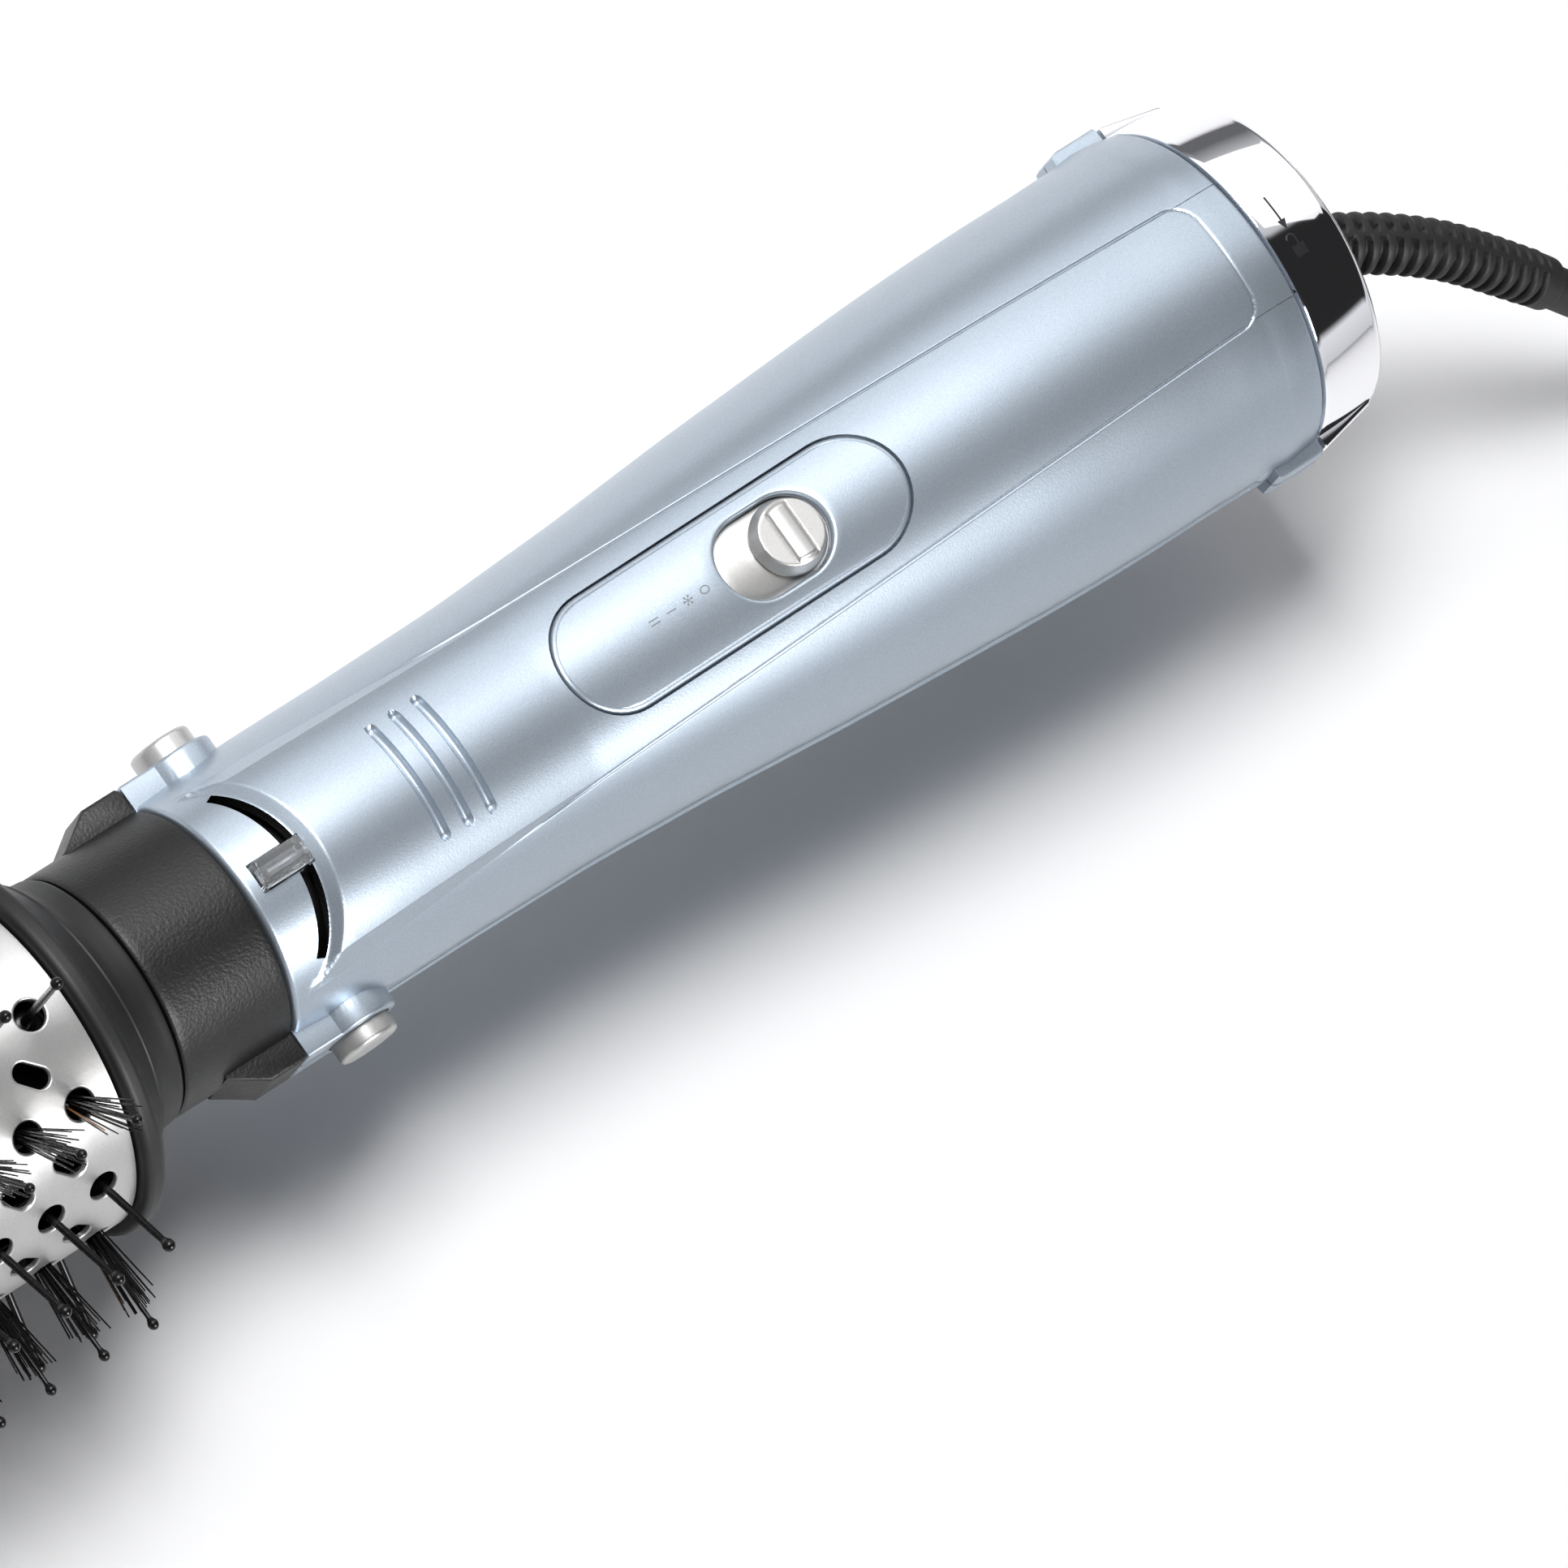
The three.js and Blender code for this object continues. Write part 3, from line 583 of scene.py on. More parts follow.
def shell_grid(upper):
    """Stations, and for each station the angles of its grid lines, denser on the panel's edge."""
    if not upper:
        stations = spaced([(0, 0.15), (0.9, 0.8), (14.6, 0.3), (16.4, 1.6), (157, 0.3), (158.4, 0.9),
                           (165.6, 0.15), (SHELL_END, 0)])
    else:
        stations = spaced([(0, 0.15), (0.9, 0.22), (12, 0.6), (25.6, 0.1), (35.5, 0.6), (49, 0.9),
                           (156, 0.25), (161, 0.6), (165.6, 0.15), (SHELL_END, 0)])
    radius = handle_radius(stations)
    edge = np.arccos(PARTING / radius)
    band = np.arccos(3.7 / radius)
    if not upper:
        plain = np.outer(band, np.linspace(0, 1, 44)[:-1])
        rim = band[:, None] + np.outer(edge - band, np.linspace(0, 1, 12))
        side = np.concatenate([plain, rim], axis=1)
    else:
        outer = np.arcsin(np.clip(panel_half(stations) / radius, 0, 0.93))
        inner = np.arcsin(np.clip((panel_half(stations) - chamfer_width(stations)) / radius, 0, 0.9))
        line = 0.4 / radius
        crease = 0.08 / radius
        spans = [
            (inner * 0, inner - crease, 54), (inner - crease, inner + crease, 3),
            (inner + crease, outer - line, 7), (outer - line, outer + line, 9),
            (outer + line, band, 26), (band, edge, 11),
        ]
        columns = [a[:, None] + np.outer(b - a, np.linspace(0, 1, n, endpoint=False)) for a, b, n in spans]
        side = np.concatenate(columns + [edge[:, None]], axis=1)
    angles = np.concatenate([-side[:, :0:-1], side], axis=1)
    return stations, angles


def shell_half(name, node, upper):
    """One closed shell: the detailed outside, a plain inside, and rims between them."""
    stations, angles = shell_grid(upper)
    grid_x = np.repeat(stations[:, None], angles.shape[1], axis=1)
    outside = shell_surface(grid_x, angles, upper)
    nx, nu = outside.shape[:2]
    skip = 8
    rows = sorted(set(range(0, nx, skip)) | {nx - 1})
    columns = sorted(set(range(0, nu, skip)) | {nu - 1})
    inner_x = grid_x[np.ix_(rows, columns)]
    turn = angles[np.ix_(rows, columns)]
    reach = handle_radius(inner_x) - SHELL_WALL
    # The parting edges stay level, so the inner edge turns a little further than the outer one.
    level = np.arccos(np.clip(PARTING / reach, -1, 1))
    turn = np.clip(turn * 1.02, -level, level)
    turn[:, 0], turn[:, -1] = -level[:, 0], level[:, -1]
    inside = np.stack([inner_x, -reach * np.sin(turn), reach * np.cos(turn)], axis=-1)
    points = list(outside.reshape(-1, 3)) + list(inside.reshape(-1, 3))

    def outer(i, j):
        return i * nu + j

    def inner(i, j):
        return nx * nu + i * len(columns) + j

    faces = [(outer(i, j), outer(i, j + 1), outer(i + 1, j + 1), outer(i + 1, j))
             for i in range(nx - 1) for j in range(nu - 1)]
    faces += [(inner(i, j), inner(i + 1, j), inner(i + 1, j + 1), inner(i, j + 1))
              for i in range(len(rows) - 1) for j in range(len(columns) - 1)]
    for i, edge in [(0, 0), (len(rows) - 1, nx - 1)]:
        for j in range(len(columns) - 1):
            span = [outer(edge, k) for k in range(columns[j], columns[j + 1] + 1)]
            faces.append(tuple(span) + (inner(i, j + 1), inner(i, j)))
    for j, edge in [(0, 0), (len(columns) - 1, nu - 1)]:
        for i in range(len(rows) - 1):
            span = [outer(k, edge) for k in range(rows[i], rows[i + 1] + 1)]
            faces.append(tuple(span) + (inner(i + 1, j), inner(i, j)))
    points = np.array(points)
    if not upper:
        points = points * [1, -1, -1]
    return piece(name, points, faces, "pearl_blue", "handle", node)


def keyhole(inset, upper):
    """Half of the button housing's outline in plan, X and Z: a boss with a neck towards the seam."""
    boss = HOUSING["boss"] - inset
    half = HOUSING["half"] - inset
    start = math.acos(-math.sqrt(1 - (half / boss) ** 2))
    outline = [(inset * 0.6, half)]
    for k in range(17):
        angle = start * (1 - k / 16)
        outline.append((BUTTON["at"] + boss * math.cos(angle), boss * math.sin(angle)))
    outline = [(x, max(z, PARTING)) for x, z in outline]
    outline.append((inset * 0.6, PARTING))
    sign = 1 if upper else -1
    return [(x, sign * z) for x, z in outline]


def button_housing(upper, side):
    """A solid boss round a button, from inside the shell's wall to a flat face with a rounded edge."""
    face = HOUSING["face"]
    levels = [(16.6, 0), (face - 0.55, 0), (face - 0.3, 0.06), (face - 0.12, 0.18), (face, 0.42)]
    loops = [[(x, side * y, z) for x, z in keyhole(inset, upper)] for y, inset in levels]
    return helper(*loft(loops))


def rear_tab(upper, side):
    """A small raised tab by the rear seam, in line with the cap's lugs."""
    sign = 1 if upper else -1
    levels = [(23, 0), (25.5, 0.1), (25.85, 0.3), (26, 0.6)]
    loops = []
    for y, inset in levels:
        z = 3.5 - inset
        outline = rectangle(158.5 + inset * 3, SHELL_END - inset * 0.4, PARTING, z)
        loops.append([(x, side * y, sign * height) for x, height in outline])
    return helper(*loft(loops))


def button_bore(side):
    radius = BUTTON["radius"] + 0.3
    return helper(*loft([upright_circle(BUTTON["at"], side * y, 0, radius, 48) for y in (14.5, 22)]))


def crescent_cutter():
    """The curved air slot in the nose: the gap between two elliptic arcs, square at its ends. Its walls take
    the gloss black lining, which is painted shade inside the slot.
    """
    end = 12.6
    back = [(arc_station(y, 2.4, 7.2, 14.2), y) for y in np.linspace(-end, end, 40)]
    front = [(arc_station(y, 2.2, 5.3, 13.4), y) for y in np.linspace(end - 0.5, 0.5 - end, 40)]
    outline = back + front
    return helper(*loft([[(x, y, z) for x, y in outline] for z in (8.5, 24)]), lining=1)


def stadium(front, rear, half):
    """A long round-ended outline in plan, as points."""
    count = 24
    outline = []
    for centre, start in [(rear - half, -math.pi / 2), (front + half, math.pi / 2)]:
        for k in range(count + 1):
            angle = start + math.pi * k / count
            outline.append((centre + half * math.cos(angle), half * math.sin(angle)))
    return outline


def at_depth(outline, offset):
    """Plan points laid at a height over the handle's surface."""
    placed = []
    for x, y in outline:
        radius = float(handle_radius(x)) + offset
        placed.append((x, y, math.sqrt(radius * radius - y * y)))
    return placed


def plate_pocket():
    steps = np.linspace(0, PLATE["half"] - 0.1, 14)
    gap = 0.3
    low = [at_depth(plate_outline(inset - gap), -PLATE["thick"] - 0.3) for inset in steps[::-1]]
    high = [at_depth(plate_outline(inset - gap), 2.5) for inset in steps]
    return helper(*loft(low + high))


def add_shells():
    upper = shell_half("handle_upper_shell_skin", "handle_upper_shell", True)
    lower = shell_half("handle_lower_shell_skin", "handle_lower_shell", False)
    for shell, is_upper in [(upper, True), (lower, False)]:
        for side in (1, -1):
            boolean(shell, [button_housing(is_upper, side), rear_tab(is_upper, side)], "UNION")
        boolean(shell, [button_bore(1), button_bore(-1)])
    slider_way = helper(*block(71.2, 99.8, -6.9, 6.9, 14, 30, 0.2))
    window = helper(*block(2.0, 10.0, -2.15, 2.15, 12, 30, 0.15))
    # Gloss black for the air slot's walls: painted shade inside the slot.
    upper.data.materials.append(LOOKS["gloss_black"])
    boolean(upper, [slider_way, crescent_cutter(), window, plate_pocket()])
    for shell in (upper, lower):
        finish_mesh(shell, math.radians(32))


# ---- Switch ----
def plate_outline(inset):
    return stadium(PLATE["front"] + inset, PLATE["rear"] - inset, PLATE["half"] - inset)


def slot_outline(inset):
    return stadium(SLOT["front"] - inset, SLOT["rear"] + inset, SLOT["half"] + inset)


def add_switch_plate():
    """The inset plate: a rounded rim, a hairline inside it, and a soft lip round the slot."""
    thick = PLATE["thick"]
    rim = [(0, -thick), (0, -0.34), (0.07, -0.14), (0.2, -0.04), (0.38, 0), (0.52, 0), (0.58, -0.07),
           (0.66, -0.07), (0.72, 0), (0.9, 0)]
    lip = [(0.75, 0), (0.5, -0.03), (0.3, -0.11), (0.13, -0.26), (0.03, -0.48), (0, -0.7), (0, -thick)]
    outer = [at_depth(plate_outline(inset), offset) for inset, offset in rim]
    inner = [at_depth(slot_outline(inset), offset) for inset, offset in lip]
    middle = []
    steps = 14
    for k in range(1, steps):
        t = k / steps
        flat = [((1 - t) * a[0] + t * b[0], (1 - t) * a[1] + t * b[1]) for a, b in zip(outer[-1], inner[0])]
        middle.append(at_depth(flat, 0))
    points, faces = ring_loft(outer + middle + inner)
    piece("switch_plate_skin", points, faces, "pearl_blue", "handle", "switch_plate")


def add_slider():
    """The satin strip under the slot, which carries the knob, as cross-sections along its length."""
    half, soft, top = 6.5, 0.5, -PLATE["thick"] - 0.3
    thick = 0.9
    loops = []
    middle = [(x, 0) for x in np.linspace(79, 97, 10)]
    ends = [(76.8, soft), (76.95, 0.16), (77.3, 0)], [(98.8, 0), (99.15, 0.16), (99.3, soft)]
    for x, inset in ends[0] + middle + ends[1]:
        across = np.linspace(inset - half, half - inset, 27)
        fall = np.maximum(0, np.abs(across) - half + soft) ** 2 * 0.5 + inset * 0.4
        high = at_depth([(x, y) for y in across], top)
        low = at_depth([(x, y) for y in across[::-1]], top - thick)
        high = [(px, py, pz - f) for (px, py, pz), f in zip(high, fall)]
        loops.append(high + low)
    piece("switch_slider_skin", *loft(loops), "satin_silver", "switch", "switch_slider")


def bar_height(x):
    """The grip bar across the knob: a crisp step on the brush side, a fine line on the cord side."""
    half = 1.55
    inside = np.clip(1 - (x / half) ** 2, 0, 1)
    crown = 0.42 * np.sqrt(inside)
    step = 0.22 * ramp01((x + half + 0.12) / 0.16) * ramp01((half - x) / 0.9)
    line = line_groove(x - half, 0.12, 0.1) + line_groove(x + half + 0.16, 0.1, 0.08)
    return crown + step + line


def knob_points():
    """The knob in its own frame: X along the handle, Z away from the plate."""
    foot = -1.15
    top = foot + KNOB["height"]
    rim = KNOB["top"] - 0.35
    rows = spaced([(-rim, 0.2), (-1.9, 0.05), (-1.3, 0.2), (1.2, 0.06), (1.8, 0.2), (rim, 0)])
    columns = np.linspace(-1, 1, 33)
    lines = []
    for x in rows:
        half = math.sqrt(max(rim * rim - x * x, 0.0004))
        end = ramp01((1 - np.abs(columns)) / 0.12)
        lines.append([(x, half * t, top - 0.05 + bar_height(x) * e) for t, e in zip(columns, end)])
    return rows, lines, top, foot


def add_knob():
    rows, lines, top, foot = knob_points()
    shape = Shape()
    shape.add(*loft(lines, closed=False, caps=False))
    width = len(lines[0])
    last = len(rows) - 1
    rim = [(i, 0) for i in range(last + 1)] + [(last, j) for j in range(1, width)]
    rim += [(i, width - 1) for i in range(last - 1, -1, -1)] + [(0, j) for j in range(width - 2, 0, -1)]
    edge = [lines[i][j] for i, j in rim]
    loops = [edge]
    base, crown = KNOB["base"], KNOB["top"]
    for radius, height in [(crown - 0.16, top - 0.08), (crown - 0.03, top - 0.22), (crown, top - 0.42),
                           (base - 0.1, foot + 0.35), (base, foot + 0.2), (base, foot)]:
        loop = []
        for x, y, _ in edge:
            angle = math.atan2(y, x)
            loop.append((radius * math.cos(angle), radius * math.sin(angle), height))
        loops.append(loop)
    points, faces = loft(loops, caps=False)
    count = len(edge)
    faces.append(tuple(range(len(points) - count, len(points))))
    shape.add(points, faces)
    slope = math.atan2(float(handle_radius(100) - handle_radius(80)), 20)
    c, s = math.cos(slope), math.sin(slope)
    height = float(handle_radius(KNOB_AT))
    placed = [(KNOB_AT + x * c - z * s, y, height + x * s + z * c) for x, y, z in shape.points]
    piece("switch_knob_skin", placed, shape.faces, "satin_silver", "switch", "switch_knob",
          sharp=math.radians(50))


def flat_mark(outlines, place):
    """Printed marks: thin closed outlines laid on a surface."""
    lift, thick = 0.02, 0.05
    shape = Shape()
    for outline in outlines:
        low = place(outline, -thick)
        high = place(outline, lift)
        shape.add(*loft([low, high]))
    return shape


def line_mark(x0, y0, x1, y1, width):
    """A straight printed stroke in plan."""
    along = np.array([x1 - x0, y1 - y0], float)
    along /= np.linalg.norm(along)
    side = np.array([-along[1], along[0]]) * width / 2
    a, b = np.array([x0, y0]), np.array([x1, y1])
    return [tuple(a - side), tuple(b - side), tuple(b + side), tuple(a + side)]


def ring_mark(x, y, radius_x, radius_y, width):
    """A printed ring as short strokes."""
    count = 24
    strokes = []
    for k in range(count):
        a, b = 2 * math.pi * k / count, 2 * math.pi * (k + 1.05) / count
        strokes.append(line_mark(x + radius_x * math.cos(a), y + radius_y * math.sin(a),
                                 x + radius_x * math.cos(b), y + radius_y * math.sin(b), width))
    return strokes


def add_switch_marks():
    """Generic position marks on the plate: high, low, cool and off."""
    high, low, cool, off = 66.1, 68.8, 71.5, 74.2
    stroke = 0.17
    outlines = [line_mark(high - 0.75, y, high + 0.75, y, stroke) for y in (-0.3, 0.3)]
    outlines.append(line_mark(low - 0.75, 0, low + 0.75, 0, stroke))
    for k in range(3):
        angle = math.pi * k / 3
        dx, dy = 0.75 * math.cos(angle), 0.75 * math.sin(angle)
        outlines.append(line_mark(cool - dx, -dy, cool + dx, dy, 0.11))
        for sign in (1, -1):
            for turn in (0.5, -0.5):
                bx, by = cool + sign * dx * 0.55, sign * dy * 0.55
                out = angle + turn + (0 if sign > 0 else math.pi)
                outlines.append(line_mark(bx, by, bx + 0.28 * math.cos(out), by + 0.28 * math.sin(out), 0.09))
    outlines += ring_mark(off, 0, 0.62, 0.5, stroke)
    shape = flat_mark(outlines, at_depth)
    piece("switch_marks", shape.points, shape.faces, "print_grey", "handle", slot="satin_black")


# ---- Release buttons ----
def add_buttons():
    """A round cap with a soft edge, on the slim arm that hooks the brush head."""
    for side, name in [(1, "left"), (-1, "right")]:
        node = f"release_button_{name}"
        radius, face, foot = BUTTON["radius"], BUTTON["face"], BUTTON["foot"]
        profile = [(radius, foot), (radius, face - 0.75)]
        for k in range(1, 7):
            angle = math.pi / 2 * k / 6
            profile.append((radius - 0.7 * (1 - math.cos(angle)), face - 0.75 + 0.7 * math.sin(angle)))
        profile += [(radius * 0.6, face - 0.01), (radius * 0.25, face)]
        loops = [upright_circle(BUTTON["at"], side * y, 0, r, 64) for r, y in profile]
        shape = Shape().add(*loft(loops))
        for x0, x1, y0, y1 in [(-6, 6.1, 16.9, 18.1), (-6, -4.4, 17.9, 19)]:
            points, faces = block(x0, x1, -2.2, 2.2, y0, y1, 0.25)
            shape.add([(x, side * z, -side * y) for x, y, z in points], faces)
        piece(f"{node}_skin", shape.points, shape.faces, "satin_silver", f"button_{name}", node)


# ---- Nose: ion window and air duct ----
def add_nose():
    points, faces = block(2.3, 9.7, -1.9, 1.9, 15.1, 19.75, 0.35)
    lens = piece("ion_window_skin", points, faces, "clear", "handle", "ion_window")
    boolean(lens, [helper(*block(3.6, 10.4, -1.0, 1.0, 14, 17.2, 0.1))])
    finish_mesh(lens)
    wall = [(-10, 13.2), (-10, 14.6), (60, 14.6), (60, 13.2)]
    turned("nose_duct_skin", wall, "satin_black", "handle", "nose_duct")


# ---- Rear cap ----
def lug(profile, half, side):
    """A block with soft edges on one side of a round wall, from its outline in station and height."""
    soft = 0.5
    loops = []
    for z, inset in [(-half, soft), (-half + 0.15 * soft, 0.5 * soft), (-half + 0.5 * soft, 0.15 * soft),
                     (-half + soft, 0), (half - soft, 0), (half - 0.5 * soft, 0.15 * soft),
                     (half - 0.15 * soft, 0.5 * soft), (half, soft)]:
        outline = [(x, reach - inset) if reach > 18.5 else (x, reach) for x, reach in profile]
        loops.append([(x, side * reach, z) for x, reach in outline])
    return helper(*loft(loops))


def cap_wall(x):
    """The cap's outer radius along its crowned wall."""
    return 24.15 - 0.6 * ((x - 167) / 9) ** 2


def add_rear_cap():
    outline = [(161, 20.6), (161, 21.4), (166.75, 21.4), (166.75, 23.9), (166.85, 24.08)]
    outline += [(x, cap_wall(x)) for x in np.linspace(167.1, 176, 22)]
    edge = 1.5
    for k in range(1, 10):
        angle = math.pi / 2 * k / 9
        outline.append((176 + edge * math.sin(angle), cap_wall(176) - edge * (1 - math.cos(angle))))
    outline += [(CAP_END, 20.9), (CAP_END - 0.3, 20.6)]
    cap = piece("rear_cap_skin", *around_axis(outline, 240), "chrome", "cap", "rear_cap")
    profile = [(166.9, 22.6), (166.9, 25.45), (167.1, 25.65), (175.6, 23.9), (176.6, 23.2), (176.6, 22.6)]
    boolean(cap, [lug(profile, 3.4, 1), lug(profile, 3.4, -1)], "UNION")
    finish_mesh(cap, math.radians(30))


def on_cap(outline, lift):
    """Marks given as (station, degrees from the crown) laid on the cap's wall."""
    placed = []
    for x, degrees in outline:
        radius = cap_wall(x) + lift
        angle = math.radians(degrees)
        placed.append((x, -radius * math.sin(angle), radius * math.cos(angle)))
    return placed


def add_cap_marks():
    """Generic marks: an arrow that shows which way to turn the cap, and an open padlock."""
    degree = math.degrees(1 / 24.1)                   # degrees in a millimetre along the wall
    def scaled(outlines):
        return [[(x, mm * degree) for x, mm in outline] for outline in outlines]
    arrow = [line_mark(170.2, mm, 170.2, mm + 0.42, 0.3) for mm in np.arange(-3.8, 0, 0.4)]
    arrow.append([(169.55, -0.1), (170.85, -0.1), (170.2, 1.4)])
    body = [(169.3, 3.7), (171.2, 3.7), (171.2, 5.3), (169.3, 5.3)]
    shackle = []
    for k in range(10):
        a, b = math.pi * (1 + 0.11 * k), math.pi * (1 + 0.11 * (k + 1.05))
        shackle.append(line_mark(169.9 + 0.62 * math.cos(a), 2.75 + 0.75 * math.sin(a),
                                 169.9 + 0.62 * math.cos(b), 2.75 + 0.75 * math.sin(b), 0.24))
    shackle.append(line_mark(170.5, 2.7, 170.5, 3.75, 0.24))
    shape = flat_mark(scaled(arrow + [body] + shackle), on_cap)
    piece("cap_marks", shape.points, shape.faces, "print_black", "cap", slot="satin_black")


def add_grille():
    """The air intake: fine rings on twelve spokes, inside the cap."""
    shape = Shape()
    for inner, outer in [(6.2, 8.2), (10.2, 11.0), (12.9, 13.7), (15.6, 16.4), (18.6, 20.3)]:
        outline = rounded([(175.9, inner), (175.9, outer), (177.2, outer), (177.2, inner)], 0.2, 2)
        shape.add(*around_axis(outline, 72))
    for k in range(12):
        points, faces = block(176.0, 177.0, -0.55, 0.55, 7.6, 19.2, 0.15)
        shape.add(about_x(points, 2 * math.pi * (k + 0.5) / 12), faces)
    piece("intake_grille_skin", shape.points, shape.faces, "satin_black", "cap", "intake_grille")


# ---- Brush head ----
def add_collar():
    stations = spaced([(-16.9, 1.0), (-12, 0.35), (-5, 0.5), (-0.9, 0)])
    outer = [(-17.5, COLLAR_R - 0.6), (-17.38, COLLAR_R - 0.25), (-17.15, COLLAR_R - 0.06)]
    outer += [(x, COLLAR_R) for x in stations]
    outer += [(-0.55, COLLAR_R - 0.06), (-0.37, COLLAR_R - 0.25)]
    outline = [(-17.5, 16.6)] + outer + [(-0.3, 17.3), (-0.3, 16.6)]
    points, faces = around_axis(outline, 200)
    collar = piece("brush_collar_skin", points, faces, "satin_black", "brush_head", "brush_collar")
    profile = [(-0.4, 17), (-0.4, 20.7), (-0.7, 21), (-6, 21), (-11, 17.7), (-11, 17)]
    boolean(collar, [lug(profile, 4.3, 1), lug(profile, 4.3, -1)], "UNION")
    finish_mesh(collar, math.radians(30))


def add_flange():
    """The bell behind the barrel, with a crease before its flare and a lip round the rim."""
    outline = [(-17.8, 13.3), (-17.8, 17.9), (-19.5, 18.05), (-21.3, 18.5), (-22.4, 19.3), (-22.75, 20.0),
               (-23.2, 19.9), (-25.2, 22.6), (-27.2, 25.6), (-28.1, 26.75), (-28.6, 26.95), (-30.0, 27.0),
               (-30.6, 26.7), (-30.9, 26.2),
               (-31.0, 24.0), (-33.6, 23.9), (-33.6, 22.6), (-30, 22.6), (-22.6, 15), (-22.6, 13.3)]
    turned("brush_flange_skin", outline, "moulded_black", "brush_head", "brush_flange", soft=0.6, sides=160,
           slot="satin_black")


def add_spigot():
    outline = [(-30, 11.5), (-30, 12.9), (-16.5, 12.9), (-16.5, 16.2), (-14, 16.2), (-14, 12.9), (12, 12.9),
               (12, 11.5)]
    turned("brush_spigot_skin", outline, "gloss_black", "brush_head", "brush_spigot")


def add_tip():
    outline = [(-115.5, 22.6), (-115.5, 24), (-118.3, 24), (-118.3, 25), (-122, 25), (-124.8, 24),
               (-126.9, 22), (-128.6, 18), (-129.5, 13), (-130, 8), (-130, 3.3), (-128, 3.3),
               (-128, 1.6), (-114.2, 1.6),
               (-114.2, 3.6), (-126.2, 3.6), (-126.9, 14.8), (-124.6, 21), (-121.6, 22.8)]
    turned("tip_cap_skin", outline, "satin_black", "brush_head", "tip_cap", soft=0.8, sides=128)
    head = [(-129.7, 0.4), (-129.75, 1.6), (-129.5, 2.5), (-129.0, 2.9), (-128.3, 2.9), (-128.3, 1.2),
            (-104, 1.2), (-104, 0.4)]
    screw = turned("tip_screw_skin", head, "steel", "brush_head", "tip_screw", soft=0.1, sides=48)
    for turn in (0, math.pi / 2):
        points, faces = block(-131, -129.1, -1.7, 1.7, -0.3, 0.3, 0.05)
        boolean(screw, [helper(about_x(points, turn), faces)])
    finish_mesh(screw)


def cell_border(half_x, half_y):
    """Points round a rectangle, a set number to each side."""
    steps = 8
    corners = rectangle(-half_x, half_x, -half_y, half_y)
    border = []
    for (ax, ay), (bx, by) in zip(corners, corners[1:] + corners[:1]):
        for k in range(steps):
            border.append((ax + (bx - ax) * k / steps, ay + (by - ay) * k / steps))
    return border


def hole_outline(kind, inset):
    """A round hole for a bristle or a slanted round-ended air slot, grown outwards by inset."""
    count = 32
    outline = []
    for k in range(count):
        angle = 2 * math.pi * (k + 0.5) / count - 3 * math.pi / 4 - math.pi / count
        if kind == "hole":
            radius = 2.1 + inset
            outline.append((radius * math.cos(angle), radius * math.sin(angle)))
        else:
            turn = angle - math.pi / 4
            radius = 1.4 + inset
            shift = 1.2 if math.cos(turn) > 0 else -1.2
            u, v = shift + radius * math.cos(turn), radius * math.sin(turn)
            c = math.sqrt(0.5)
            outline.append(((u - v) * c, (u + v) * c))
    return outline


def barrel_cell(shape, x, turn, kind, length=RING_PITCH):
    """One cell of the barrel's wall, with its opening's rolled edge, or closed."""
    half_x, half_y = length / 2, math.pi * BARREL_R / 2 / ROWS

    def wrap(points, radius):
        return [(x + px, -radius * math.sin(turn + py / BARREL_R), radius * math.cos(turn + py / BARREL_R))
                for px, py in points]

    border = cell_border(half_x, half_y)
    if kind == "plain":
        steps = 8
        for radius in (BARREL_R, BARREL_INNER_R):
            rows = []
            for i in range(steps + 1):
                v = half_y * (2 * i / steps - 1)
                rows.append(wrap([(half_x * (2 * k / steps - 1), v) for k in range(steps + 1)], radius))
            shape.add(*loft(rows, closed=False, caps=False))
        return
    rings = [(border, BARREL_R)]
    edge = hole_outline(kind, 0.28)
    blend = [((a[0] + b[0]) / 2, (a[1] + b[1]) / 2) for a, b in zip(border, edge)]
    rings += [(blend, BARREL_R), (hole_outline(kind, 0.34), BARREL_R), (edge, BARREL_R),
              (hole_outline(kind, 0.1), BARREL_R - 0.05),
              (hole_outline(kind, 0.02), BARREL_R - 0.16), (hole_outline(kind, 0), BARREL_R - 0.3),
              (hole_outline(kind, 0), BARREL_INNER_R), (border, BARREL_INNER_R)]
    loops = [wrap(points, radius) for points, radius in rings]
    shape.add(*loft(loops, caps=False))


def add_barrel():
    """The perforated metal barrel: rows of bristle holes with rows of air slots between them."""
    shape = Shape()
    step = 2 * math.pi / ROWS
    rear, front = -31.3, -118
    for row in range(ROWS):
        for ring in range(RINGS):
            barrel_cell(shape, FIRST_RING - ring * RING_PITCH, row * step, "hole")
        middle = (row + 0.5) * step
        for ring in range(RINGS - 1):
            barrel_cell(shape, FIRST_RING - (ring + 0.5) * RING_PITCH, middle, "slot")
        first, last = FIRST_RING + RING_PITCH / 2, FIRST_RING - (RINGS - 0.5) * RING_PITCH
        for edge in (first - RING_PITCH / 4, last + RING_PITCH / 4):
            barrel_cell(shape, edge, middle, "plain", RING_PITCH / 2)
        for turn in (row * step, middle):
            barrel_cell(shape, (rear + first) / 2, turn, "plain", rear - first)
            barrel_cell(shape, (front + last) / 2, turn, "plain", last - front)
    for x in (rear, front):
        angles = np.linspace(0, 2 * math.pi, ROWS * 16, endpoint=False) + math.pi / ROWS / 2
        loops = [[(x, -r * math.sin(a), r * math.cos(a)) for a in angles] for r in (BARREL_R, BARREL_INNER_R)]
        shape.add(*loft(loops, caps=False))
    piece("brush_barrel_skin", shape.points, shape.faces, "barrel_silver", "brush_head", "brush_barrel",
          sharp=math.radians(55))


